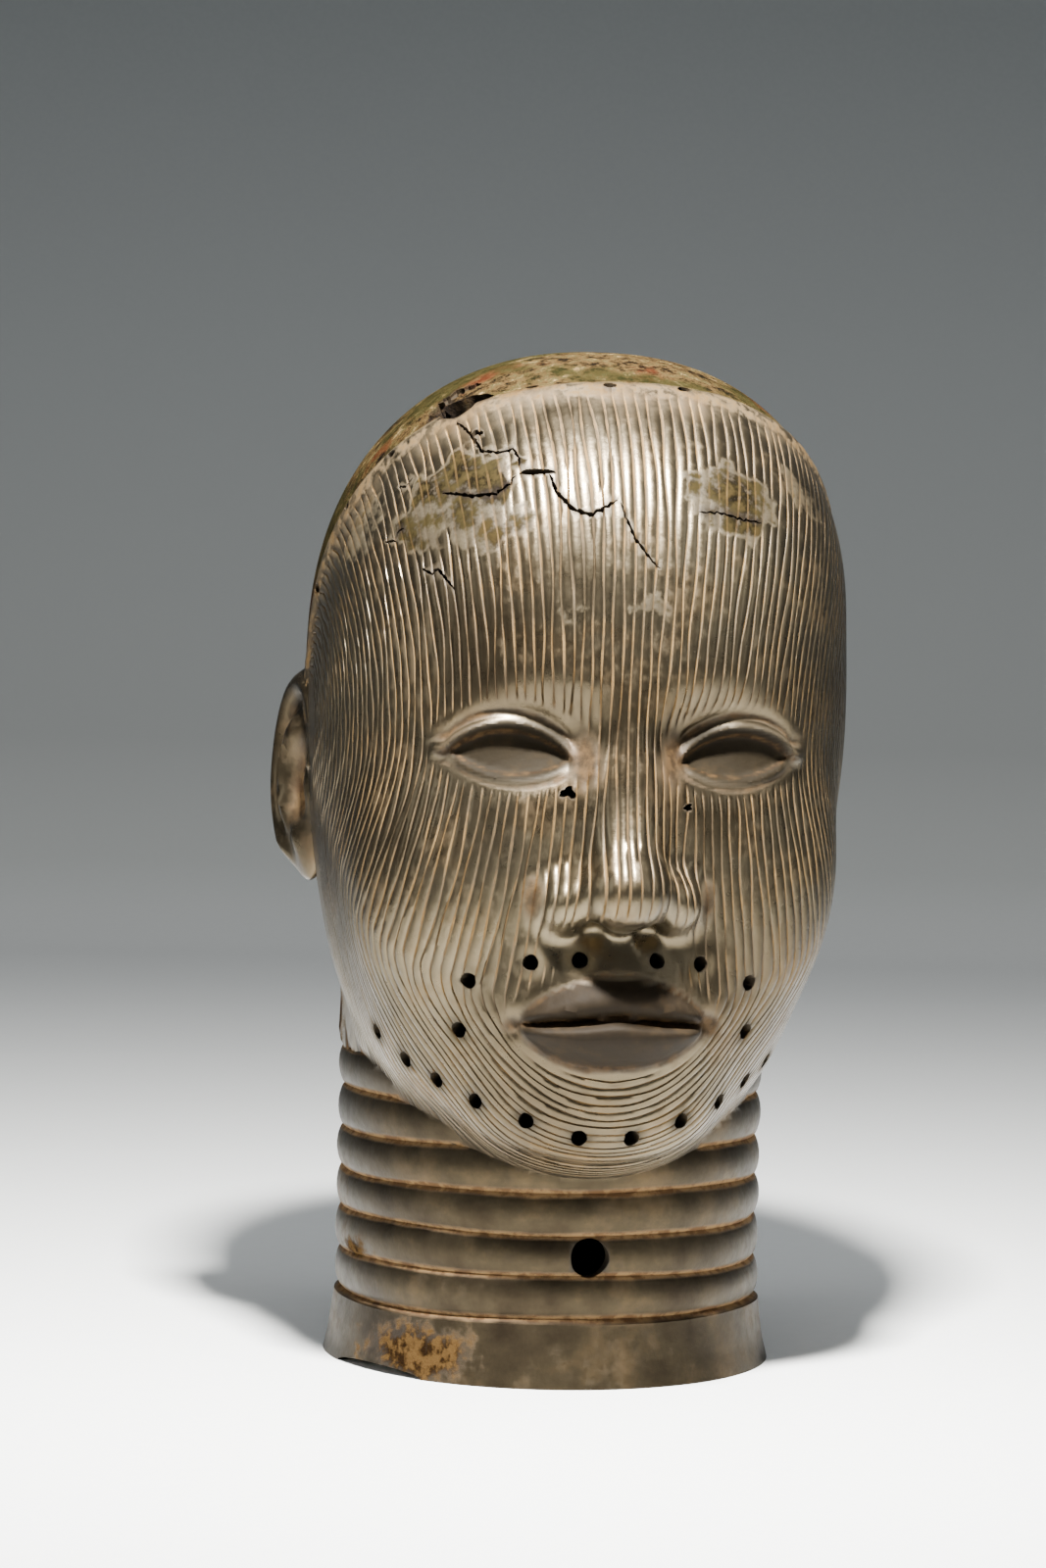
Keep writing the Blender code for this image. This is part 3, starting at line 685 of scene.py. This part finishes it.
def make_core():
    """What the wall is left round: the clay core of the head and the bore of the neck, which overlap."""
    bm = bmesh.new()
    bmesh.ops.create_uvsphere(bm, u_segments=24, v_segments=16, radius=1.0)
    directions = np.array([(vert.co.z, vert.co.x, vert.co.y) for vert in bm.verts])
    directions /= np.linalg.norm(directions, axis=1)[:, None]
    for vert, point in zip(bm.verts, placed(on_surface(core_distance, directions))):
        vert.co = point
    core = solid_object("core", bm)
    radius = NECK_WIDTH / 2 - GROOVE_DEPTH - WALL
    top = NECK_HEIGHT + 0.2 * HEAD_HEIGHT
    bm = bmesh.new()
    heights = [(radius, -WALL), (radius, top * 0.75), (radius * 0.8, top)]
    sides = 48
    rings = []
    for r, height in heights:
        ring = []
        for i in range(sides):
            t = 2.0 * math.pi * i / sides
            deep = r * math.sin(t) * NECK_DEPTH / NECK_WIDTH + NECK_SETBACK - MIDDLE
            ring.append(bm.verts.new((r * math.cos(t) + ASIDE, deep, height)))
        rings.append(ring)
    for lower, upper in zip(rings, rings[1:]):
        for i in range(sides):
            bm.faces.new((lower[i], lower[(i + 1) % sides], upper[(i + 1) % sides], upper[i]))
    bm.faces.new(rings[0][::-1])
    bm.faces.new(rings[-1])
    return core, solid_object("bore", bm)


def skin_point(azimuth, height):
    """A point on the head at an angle from straight ahead and a height above the chin, in metres."""
    side, ahead = math.sin(math.radians(azimuth)), -math.cos(math.radians(azimuth))
    low, high = 20.0, 130.0
    for _ in range(30):
        middle = (low + high) / 2
        p = np.array([[side * middle, ahead * middle - 12.0, height]])
        if head_distance(p)[0] < 0:
            low = middle
        else:
            high = middle
    return Vector(placed(np.array([[side * low, ahead * low - 12.0, height]]))[0]), Vector((side, ahead, 0.0))


def over_head(side_angle, up_angle):
    """A point on the head at angles to the side and up from straight ahead of its middle, and the way out."""
    way = way_out(np.array([side_angle]), np.array([up_angle]))
    return Vector(placed(on_surface(head_distance, way))[0]), Vector(way[0])


def add_hole(bm, point, direction, length, width, depth, sides, turn=0.0, raggedness=0.0, seed=1.0):
    """A cutter from outside the surface to a depth behind it, added to a mesh of cutters."""
    outside = depth * 0.5
    verts = bmesh.ops.create_cone(bm, cap_ends=True, segments=sides, radius1=0.5, radius2=0.5,
                                  depth=depth + outside)["verts"]
    for vert in verts:
        angle = math.atan2(vert.co.y, vert.co.x)
        rough = 1.0 + raggedness * (math.sin(3 * angle + seed) + 0.6 * math.sin(5 * angle + 2 * seed)
                                    + 0.35 * math.sin(8 * angle + 3 * seed))
        vert.co.x *= length * rough
        vert.co.y *= width * rough
    facing = Vector(direction).to_track_quat('Z', 'Y').to_matrix().to_4x4()
    middle = Vector(point) + Vector(direction) * (outside - depth) / 2
    place = Matrix.Translation(middle) @ facing @ Matrix.Rotation(math.radians(turn), 4, 'Z')
    bmesh.ops.transform(bm, matrix=place, verts=verts)


def make_holes():
    """All round and ragged holes as one mesh of cutters that do not touch, and where the beard holes' middles
    are.
    """
    bm = bmesh.new()
    middles = []
    seed = 1.0
    for side in (-1, 1):
        for azimuth, height in BEARD_HOLES:
            point, direction = skin_point(azimuth * side, height)
            seed += 1.3
            add_hole(bm, point, direction, BEARD_HOLE, BEARD_HOLE, 2.8 * WALL, 20, 0, 0.03, seed)
            middles.append(point)
    for place in HAIRLINE_HOLES:
        point, direction = over_head(*place)
        seed += 1.3
        add_hole(bm, point, direction, HAIRLINE_HOLE * 1.25, HAIRLINE_HOLE * 0.8, 3 * WALL, 14, 0, 0.06, seed)
    for place, length, width in SMALL_BREAKS:
        point, direction = over_head(*place)
        seed += 1.3
        add_hole(bm, point, direction, length, width, 3 * WALL, 18, 0, 0.22, seed)
    point, direction = over_head(*CROWN_HOLE_PLACE)
    add_hole(bm, point, direction, CROWN_HOLE_LENGTH, CROWN_HOLE_WIDTH, 3 * WALL, 40, CROWN_HOLE_TURN, 0.13)
    point, direction = over_head(*SLIT_PLACE)
    add_hole(bm, point, direction, SLIT_LENGTH, SLIT_WIDTH, 3 * WALL, 20, 0, 0.08, 2.0)
    front = Vector((ASIDE, -NECK_DEPTH / 2 + NECK_SETBACK - MIDDLE, NECK_HOLE_HEIGHT))
    add_hole(bm, front, (0.0, -1.0, 0.0), NECK_HOLE, NECK_HOLE, 3 * WALL, 36, 0, 0.015, 1.0)
    return solid_object("holes", bm), middles


def make_rim_loss():
    bm = bmesh.new()
    bmesh.ops.create_uvsphere(bm, u_segments=32, v_segments=16, radius=1.0)
    size = (WALL * 3, RIM_LOSS_LENGTH / 2, RIM_LOSS_HEIGHT)
    angle = math.radians(RIM_LOSS_ANGLE - 90.0)
    rim = Vector((math.cos(angle) * NECK_WIDTH / 2 + ASIDE,
                  math.sin(angle) * NECK_DEPTH / 2 + NECK_SETBACK - MIDDLE, 0.0))
    place = Matrix.Translation(rim) @ Matrix.Rotation(angle, 4, 'Z') @ Matrix.Diagonal((*size, 1.0))
    bmesh.ops.transform(bm, matrix=place, verts=bm.verts)
    return solid_object("rim_loss", bm)


def make_cracks():
    """Open cracks as thin wedges that follow the skin."""
    bm = bmesh.new()
    for number, (wide, crack) in enumerate(CRACKS):
        places = []
        for start, end in zip(crack, crack[1:]):
            steps = max(2, int(math.hypot(end[0] - start[0], end[1] - start[1]) / 0.5))
            for step in range(steps):
                share = step / steps
                jag = 0.16 * math.sin(9.0 * len(places) + 2.0 * number)
                places.append((start[0] + (end[0] - start[0]) * share + jag * 0.7,
                               start[1] + (end[1] - start[1]) * share - jag))
        places.append(crack[-1])
        ways = way_out(np.array([p[0] for p in places]), np.array([p[1] for p in places]))
        points = placed(on_surface(head_distance, ways))
        rings = []
        for i, (point, way) in enumerate(zip(points, ways)):
            along = Vector(points[min(i + 1, len(points) - 1)] - points[max(i - 1, 0)]).normalized()
            out = Vector(way)
            across = out.cross(along).normalized()
            share = i / (len(points) - 1)
            swell = 0.25 + 0.75 * math.sin(math.pi * share) ** 0.4
            width = wide * CRACK_WIDTH * swell * (0.8 + 0.3 * math.sin(2.3 * i))
            deep = CRACK_DEPTH * max(1.0, 0.8 * wide)
            top, foot = Vector(point) + out * deep, Vector(point) - out * deep
            corners = [top + across * width, top - across * width,
                       foot - across * width * 0.8, foot + across * width * 0.8]
            rings.append([bm.verts.new(corner) for corner in corners])
        for one, other in zip(rings, rings[1:]):
            for i in range(4):
                bm.faces.new((one[i], one[(i + 1) % 4], other[(i + 1) % 4], other[i]))
        bm.faces.new(rings[0][::-1])
        bm.faces.new(rings[-1])
    return solid_object("cracks", bm)


def combine(thing, operation, other, solver='MANIFOLD'):
    """One Boolean, applied at once; the other object is removed."""
    boolean = thing.modifiers.new(operation, 'BOOLEAN')
    boolean.operation = operation
    boolean.solver = solver
    boolean.object = other
    evaluated = thing.evaluated_get(bpy.context.evaluated_depsgraph_get())
    mesh = bpy.data.meshes.new_from_object(evaluated)
    old = thing.data
    thing.modifiers.clear()
    thing.data = mesh
    bpy.data.meshes.remove(old)
    bpy.data.objects.remove(other)


def as_form(points):
    """Points of the finished head, back in form units and upright."""
    q = points.astype(float) - leaned(np.zeros((1, 3)))
    lift = np.clip(q[:, 2] - LEAN_HEIGHT, 0.0, None)
    q[:, 0] -= lift * lift / (lift + LEAN_EASE) * math.tan(math.radians(HEAD_LEAN))
    q[:, 1] += MIDDLE
    q[:, 2] -= NECK_HEIGHT
    return q / SCALE


def depth_under_skin(points):
    """How far points of the finished head are under its smooth form, in form units; nothing on the neck."""
    form = as_form(points)
    return -head_distance(form) * (form[:, 2] > 4.0)


def point_tree(points):
    tree = KDTree(len(points))
    for index, point in enumerate(points):
        tree.insert(point, index)
    tree.balance()
    return tree


def make_casting():
    skin = make_skin()
    neck = make_neck()
    ears = make_ears()
    core, bore = make_core()
    sources = [skin, neck] + ears
    points = np.concatenate([get_points(thing.data) for thing in sources])
    values = {name: np.concatenate([get_floats(thing.data, name) for thing in sources]) for name in MARKS}
    inner = np.concatenate([get_points(core.data), get_points(bore.data)])
    for name in MARKS:
        # Points of the hollow's inner faces get "inside" 1, which paints them near black as painted shade
        fill = {"cap": -FAR_FROM_CAP, "inside": 1.0}.get(name, 0.0)
        values[name] = np.concatenate([values[name], np.full(len(inner), fill)])
    points = np.concatenate([points, inner])
    tree = point_tree(points)
    for ear in ears:
        combine(skin, 'UNION', ear)
    combine(skin, 'UNION', neck)
    combine(core, 'UNION', bore, 'EXACT')
    combine(skin, 'DIFFERENCE', core)
    combine(skin, 'DIFFERENCE', make_rim_loss())
    whole = point_tree(get_points(skin.data))
    holes, middles = make_holes()
    combine(skin, 'DIFFERENCE', holes)
    combine(skin, 'DIFFERENCE', make_cracks())
    final = get_points(skin.data)
    on_cut = np.array([whole.find(point)[2] for point in final]) > NEW_POINT
    nearest = np.array([tree.find(point)[1] for point in final])
    marks = {name: values[name][nearest] for name in MARKS}
    sunk = smooth_step(0.15, 0.9, depth_under_skin(final))
    # Walls of holes and cracks, and the rims round them, get "inside" as painted shade, darkest deep in the
    # cut
    marks["inside"] = np.maximum(marks["inside"], on_cut * (0.6 + 0.4 * sunk))
    for name in MARKS:
        set_floats(skin.data, name, marks[name])
    by_hole = np.full(len(final), 1.0)
    for middle in middles:
        by_hole = np.minimum(by_hole, np.linalg.norm(final - np.array(middle), axis=1))
    set_floats(skin.data, "by_hole", by_hole * 1000.0)
    rusted = np.zeros(len(final))
    for place, size in RUST_PLACES:
        away = (final - np.array(place)) / np.array(size)
        rusted = np.maximum(rusted, ridge(np.linalg.norm(away, axis=1), 1.0))
    set_floats(skin.data, "rusted", rusted)
    skin.name = "cast_head"
    skin.data.name = "cast_head"
    skin.data.shade_smooth()
    skin.data.set_sharp_from_angle(angle=math.radians(50.0))
    return skin


# Materials

def new_material(name):
    material = bpy.data.materials.new(name)
    material.use_nodes = True
    return material, material.node_tree.nodes, material.node_tree.links


class Graph:
    """Short calls for shader nodes."""

    def __init__(self, nodes, links):
        self.nodes = nodes
        self.links = links

    def put(self, socket, value):
        if isinstance(value, bpy.types.NodeSocket):
            self.links.new(value, socket)
        elif isinstance(value, tuple):
            socket.default_value = (*value, 1.0)
        else:
            socket.default_value = value

    def read(self, name):
        node = self.nodes.new('ShaderNodeAttribute')
        node.attribute_name = name
        return node.outputs["Fac"]

    def math(self, operation, first, second=0.0):
        node = self.nodes.new('ShaderNodeMath')
        node.operation = operation
        self.put(node.inputs[0], first)
        self.put(node.inputs[1], second)
        return node.outputs[0]

    def times(self, first, second):
        return self.math('MULTIPLY', first, second)

    def plus(self, first, second):
        return self.math('ADD', first, second)

    def minus(self, first, second):
        return self.math('SUBTRACT', first, second)

    def either(self, first, second):
        return self.math('MAXIMUM', first, second)

    def step(self, value, low, high, start=0.0, end=1.0):
        node = self.nodes.new('ShaderNodeMapRange')
        node.interpolation_type = 'SMOOTHSTEP'
        self.put(node.inputs["Value"], value)
        node.inputs["From Min"].default_value = low
        node.inputs["From Max"].default_value = high
        node.inputs["To Min"].default_value = start
        node.inputs["To Max"].default_value = end
        return node.outputs["Result"]

    def noise(self, where, scale, detail=4.0, roughness=0.55, distortion=0.0):
        node = self.nodes.new('ShaderNodeTexNoise')
        self.links.new(where, node.inputs["Vector"])
        node.inputs["Scale"].default_value = scale
        node.inputs["Detail"].default_value = detail
        node.inputs["Roughness"].default_value = roughness
        node.inputs["Distortion"].default_value = distortion
        return node.outputs["Fac"]

    def mix(self, share, first, second):
        node = self.nodes.new('ShaderNodeMix')
        node.data_type = 'RGBA'
        self.put(node.inputs[0], share)
        self.put(node.inputs[6], first)
        self.put(node.inputs[7], second)
        return node.outputs[2]

    def ramp(self, value, stops):
        node = self.nodes.new('ShaderNodeValToRGB')
        self.links.new(value, node.inputs["Fac"])
        ramp = node.color_ramp
        while len(ramp.elements) < len(stops):
            ramp.elements.new(0.5)
        for element, (place, colour) in zip(ramp.elements, stops):
            element.position = place
            element.color = (*colour, 1.0)
        return node.outputs["Color"]

    def bump(self, height, distance, strength, normal=None):
        node = self.nodes.new('ShaderNodeBump')
        node.inputs["Distance"].default_value = distance
        self.put(node.inputs["Strength"], strength)
        self.links.new(height, node.inputs["Height"])
        if normal is not None:
            self.links.new(normal, node.inputs["Normal"])
        return node.outputs["Normal"]


def make_bronze():
    material, nodes, links = new_material("patinated_bronze")
    g = Graph(nodes, links)
    shader = nodes["Principled BSDF"]
    where = nodes.new('ShaderNodeTexCoord').outputs["Object"]
    stria, lined, cap = g.read("stria"), g.read("lined"), g.read("cap")
    worn, lips, eye = g.read("worn"), g.read("lips"), g.read("eye")
    groove, neck, crease = g.read("groove"), g.read("neck"), g.read("crease")
    inside, by_hole = g.read("inside"), g.read("by_hole")
    broad = g.noise(where, 14.0, 5.0, 0.6)
    medium = g.noise(where, 55.0, 6.0, 0.62)
    fine = g.noise(where, 260.0, 5.0, 0.6)
    speck = g.noise(where, 900.0, 3.0, 0.6)

    # Polished skin: dark olive-brown metal, browner and paler in broad clouds
    skin = g.ramp(broad, [(0.32, (0.050, 0.037, 0.022)), (0.46, (0.072, 0.056, 0.034)),
                          (0.58, (0.098, 0.079, 0.050)), (0.75, (0.130, 0.104, 0.062))])
    skin = g.mix(g.step(medium, 0.46, 0.70, 0.0, 0.45), skin, (0.080, 0.047, 0.020))
    skin = g.mix(lips, skin, g.mix(fine, (0.006, 0.004, 0.002), (0.016, 0.011, 0.006)))
    skin = g.mix(eye, skin, g.mix(medium, (0.004, 0.003, 0.0015), (0.014, 0.010, 0.005)))

    # Dirt held in the engraved lines
    phase = g.math('FRACT', stria)
    off_line = g.math('ABSOLUTE', g.minus(phase, 0.5))
    ragged = g.plus(off_line, g.times(g.minus(fine, 0.5), 0.16))
    line = g.times(g.step(ragged, 0.130, 0.050), lined)
    line_dirt = g.times(line, g.step(medium, 0.34, 0.58, 0.35, 1.0))
    tan = g.ramp(medium, [(0.35, (0.040, 0.021, 0.008)), (0.55, (0.095, 0.057, 0.022)),
                          (0.75, (0.155, 0.102, 0.045))])

    # Rough crust of the cap, and the pale raised edge in front of it
    crust = g.ramp(g.noise(where, 170.0, 9.0, 0.78, 0.1), [
        (0.42, (0.002, 0.0015, 0.001)), (0.47, (0.014, 0.009, 0.004)), (0.52, (0.040, 0.024, 0.009)),
        (0.56, (0.012, 0.013, 0.005)), (0.64, (0.115, 0.074, 0.032))])
    red = g.step(g.noise(where, 45.0, 6.0, 0.65), 0.56, 0.66, 0.0, 0.65)
    crust = g.mix(red, crust, (0.030, 0.008, 0.003))
    green = g.step(g.noise(where, 26.0, 5.0, 0.6), 0.48, 0.60, 0.0, 0.75)
    crust = g.mix(green, crust, (0.007, 0.007, 0.002))
    head = g.minus(1.0, neck)
    on_cap = g.step(g.plus(cap, g.times(g.minus(medium, 0.5), 10.0)), -1.5, 2.5)
    on_cap = g.times(on_cap, head)
    edge = g.step(g.math('ABSOLUTE', g.plus(cap, 1.5)), 5.0, 1.0)
    edge = g.times(g.times(edge, g.step(fine, 0.36, 0.62)), head)

    # General soiling, stronger by the hairline, in folds and grooves and by the holes
    low_dirt = g.step(g.plus(medium, fine), 1.02, 1.30, 0.0, 0.7)
    near_hair = g.times(g.times(g.step(cap, -18.0, -2.0), g.step(medium, 0.38, 0.62)), head)
    unsteady = g.times(g.minus(medium, 0.5), 1.2)
    pits = g.times(g.step(g.plus(groove, unsteady), 0.15, 0.85), 0.9)
    folds = g.times(g.step(g.plus(crease, unsteady), 0.30, 0.90), 0.85)
    ring = g.times(g.step(by_hole, 6.5, 2.6), g.step(medium, 0.34, 0.56))
    patchy = g.plus(g.times(g.minus(medium, 0.5), 1.2), g.minus(fine, 0.5))
    worn_dirt = g.step(g.plus(worn, patchy), 0.30, 0.80)

    colour = g.mix(neck, skin, g.ramp(medium, [(0.30, (0.018, 0.013, 0.008)), (0.52, (0.034, 0.026, 0.015)),
                                               (0.70, (0.062, 0.043, 0.022))]))
    bare = g.mix(g.step(fine, 0.38, 0.62), (0.002, 0.0015, 0.0008), (0.013, 0.010, 0.004))
    colour = g.mix(worn_dirt, colour, bare)
    colour = g.mix(g.times(low_dirt, 0.35), colour, (0.030, 0.018, 0.007))
    colour = g.mix(g.times(near_hair, 0.5), colour, (0.036, 0.021, 0.008))
    colour = g.mix(g.times(ring, 0.55), colour, (0.030, 0.021, 0.005))
    colour = g.mix(line_dirt, colour, tan)
    rust = g.mix(g.step(fine, 0.4, 0.6), (0.070, 0.036, 0.015), (0.140, 0.084, 0.037))
    colour = g.mix(pits, colour, rust)
    soil = g.mix(g.step(fine, 0.38, 0.62), (0.012, 0.006, 0.002), (0.045, 0.025, 0.010))
    colour = g.mix(folds, colour, soil)
    colour = g.mix(on_cap, colour, crust)
    colour = g.mix(g.times(edge, 0.75), colour, (0.060, 0.036, 0.014))
    scale_of_rust = g.mix(g.step(fine, 0.42, 0.58), (0.010, 0.005, 0.002), (0.055, 0.031, 0.011))
    rusted = g.step(g.plus(g.read("rusted"), patchy), 0.30, 0.75)
    colour = g.mix(rusted, colour, scale_of_rust)
    # Painted shade: near-black colour on the walls of holes and cracks and on the inside of the hollow
    colour = g.mix(inside, colour, (0.008, 0.006, 0.005))
    links.new(colour, shader.inputs["Base Color"])

    dirt = line_dirt
    for other in (on_cap, rusted, g.times(lips, 0.85), g.times(eye, 0.9),
                  worn_dirt, pits, folds, edge, g.times(ring, 0.6),
                  g.times(near_hair, 0.5), g.times(low_dirt, 0.25), inside):
        dirt = g.either(dirt, other)
    links.new(g.minus(0.97, g.times(dirt, 0.97)), shader.inputs["Metallic"])
    rough = g.plus(0.30, g.times(dirt, 0.45))
    rough = g.plus(rough, g.times(g.minus(fine, 0.5), 0.22))
    rough = g.plus(rough, g.times(neck, 0.20))
    links.new(rough, shader.inputs["Roughness"])
    links.new(g.minus(0.5, g.times(dirt, 0.49)), shader.inputs["Specular IOR Level"])

    lumps = g.noise(where, 150.0, 8.0, 0.7)
    normal = g.bump(lumps, 0.0016, g.either(on_cap, rusted))
    normal = g.bump(medium, 0.0006, 0.5, normal)
    normal = g.bump(fine, 0.00022, g.plus(0.35, g.times(dirt, 0.5)), normal)
    normal = g.bump(speck, 0.00006, 0.5, normal)
    links.new(normal, shader.inputs["Normal"])
    return material


def make_floor_material():
    """Pale paper, with painted shade that darkens it up the wall behind the head."""
    material, nodes, links = new_material("backdrop_paper")
    g = Graph(nodes, links)
    shader = nodes["Principled BSDF"]
    split = nodes.new('ShaderNodeSeparateXYZ')
    links.new(nodes.new('ShaderNodeTexCoord').outputs["Object"], split.inputs[0])
    high = g.math('DIVIDE', split.outputs["Z"], 1.3)
    # Painted shade: the colour darkens from the pale floor up the curve and the wall, as the light falls off
    paper_and_shade = g.ramp(high, [(0.0, (0.875, 0.890, 0.880)), (0.05, (0.66, 0.678, 0.66)),
                         (0.14, (0.50, 0.515, 0.505)), (0.45, (0.400, 0.418, 0.418)),
                         (0.80, (0.270, 0.288, 0.291))])
    paler = g.noise(nodes.new('ShaderNodeTexCoord').outputs["Object"], 160.0, 3.0)
    paper_and_shade = g.mix(g.step(paler, 0.35, 0.65, 0.0, 0.03), paper_and_shade, (0.5, 0.5, 0.5))
    links.new(paper_and_shade, shader.inputs["Base Color"])
    shader.inputs["Roughness"].default_value = 0.9
    shader.inputs["Specular IOR Level"].default_value = 0.1
    return material


# The view: azimuth and elevation in degrees, the rest in metres
VIEW_AZIMUTH = -10.0
VIEW_ELEVATION = 0.7
VIEW_ROLL = 1.1
VIEW_DISTANCE = 1.128
VIEW_ASIDE = -0.011
VIEW_HEIGHT = 0.1732
LENS = 85.0
SENSOR = 36.0

# Lights: name, degrees round from the view, elevation, distance, width and height, power and colour
LIGHT_AIM = 0.2
LIGHTS = [
    ("key", 0.5, 54.0, 0.46, (0.06, 0.05), 32.0, (1.0, 0.985, 0.955)),
    ("over", 0.0, 80.0, 1.5, (1.2, 1.2), 6.0, (0.97, 0.99, 1.0)),
    ("left_fill", -62.0, 25.0, 1.8, (0.6, 1.0), 5.0, (0.92, 0.97, 1.0)),
    ("right_fill", 62.0, 22.0, 1.8, (0.6, 1.0), 4.0, (0.92, 0.97, 1.0)),
]
WORLD_COLOUR = (0.92, 0.96, 1.0, 1.0)
WORLD_STRENGTH = 0.21


def view_direction(azimuth, elevation):
    a, e = math.radians(azimuth), math.radians(elevation)
    return Vector((math.sin(a) * math.cos(e), -math.cos(a) * math.cos(e), math.sin(e)))


def make_camera():
    camera = bpy.data.cameras.new("camera")
    camera.lens = LENS
    camera.sensor_fit = 'VERTICAL'
    camera.sensor_height = SENSOR
    thing = bpy.data.objects.new("camera", camera)
    bpy.context.scene.collection.objects.link(thing)
    a = math.radians(VIEW_AZIMUTH)
    target = Vector((VIEW_ASIDE * math.cos(a) + ASIDE, VIEW_ASIDE * math.sin(a), VIEW_HEIGHT))
    direction = view_direction(VIEW_AZIMUTH, VIEW_ELEVATION)
    thing.location = target + direction * VIEW_DISTANCE
    roll = Matrix.Rotation(math.radians(VIEW_ROLL), 3, 'Z').to_quaternion()
    thing.rotation_mode = 'QUATERNION'
    thing.rotation_quaternion = direction.to_track_quat('Z', 'Y') @ roll
    bpy.context.scene.camera = thing


def make_light(name, turn, elevation, distance, size, power, colour):
    light = bpy.data.lights.new(name, 'AREA')
    light.shape = 'RECTANGLE'
    light.size, light.size_y = size
    light.energy = power
    light.color = colour
    thing = bpy.data.objects.new(name, light)
    bpy.context.scene.collection.objects.link(thing)
    direction = view_direction(VIEW_AZIMUTH + turn, elevation)
    thing.location = Vector((0.0, 0.0, LIGHT_AIM)) + direction * distance
    thing.rotation_mode = 'QUATERNION'
    thing.rotation_quaternion = direction.to_track_quat('Z', 'Y')


def make_backdrop():
    """A sheet of paper from in front of the head, back along the floor and up in one wide curve."""
    back, wall, bend, wide = 3.2, 3.0, 1.2, 5.0
    outline = [(-1.6, 0.0)] + [(y, 0.0) for y in np.linspace(-1.2, back - bend, 12)]
    outline += [(back - bend + bend * math.sin(t), bend - bend * math.cos(t))
                for t in np.linspace(0.1, math.pi / 2, 14)]
    outline.append((back, wall))
    points = []
    for x in np.linspace(-wide, wide, 9):
        points += [(x, y, z) for y, z in outline]
    count = len(outline)
    faces = [(i * count + j, (i + 1) * count + j, (i + 1) * count + j + 1, i * count + j + 1)
             for i in range(8) for j in range(count - 1)]
    floor = new_mesh_object("backdrop", points, faces)
    floor.rotation_euler = (0.0, 0.0, math.radians(VIEW_AZIMUTH))
    floor.data.shade_smooth()
    floor.data.materials.append(make_floor_material())


def make_world():
    world = bpy.data.worlds.new("studio")
    world.use_nodes = True
    background = world.node_tree.nodes["Background"]
    background.inputs["Color"].default_value = WORLD_COLOUR
    background.inputs["Strength"].default_value = WORLD_STRENGTH
    bpy.context.scene.world = world


casting = make_casting()
casting.data.materials.clear()
casting.data.materials.append(make_bronze())
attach(casting, "root")
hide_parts("head")

make_camera()
make_backdrop()
make_world()
for light in LIGHTS:
    make_light(*light)
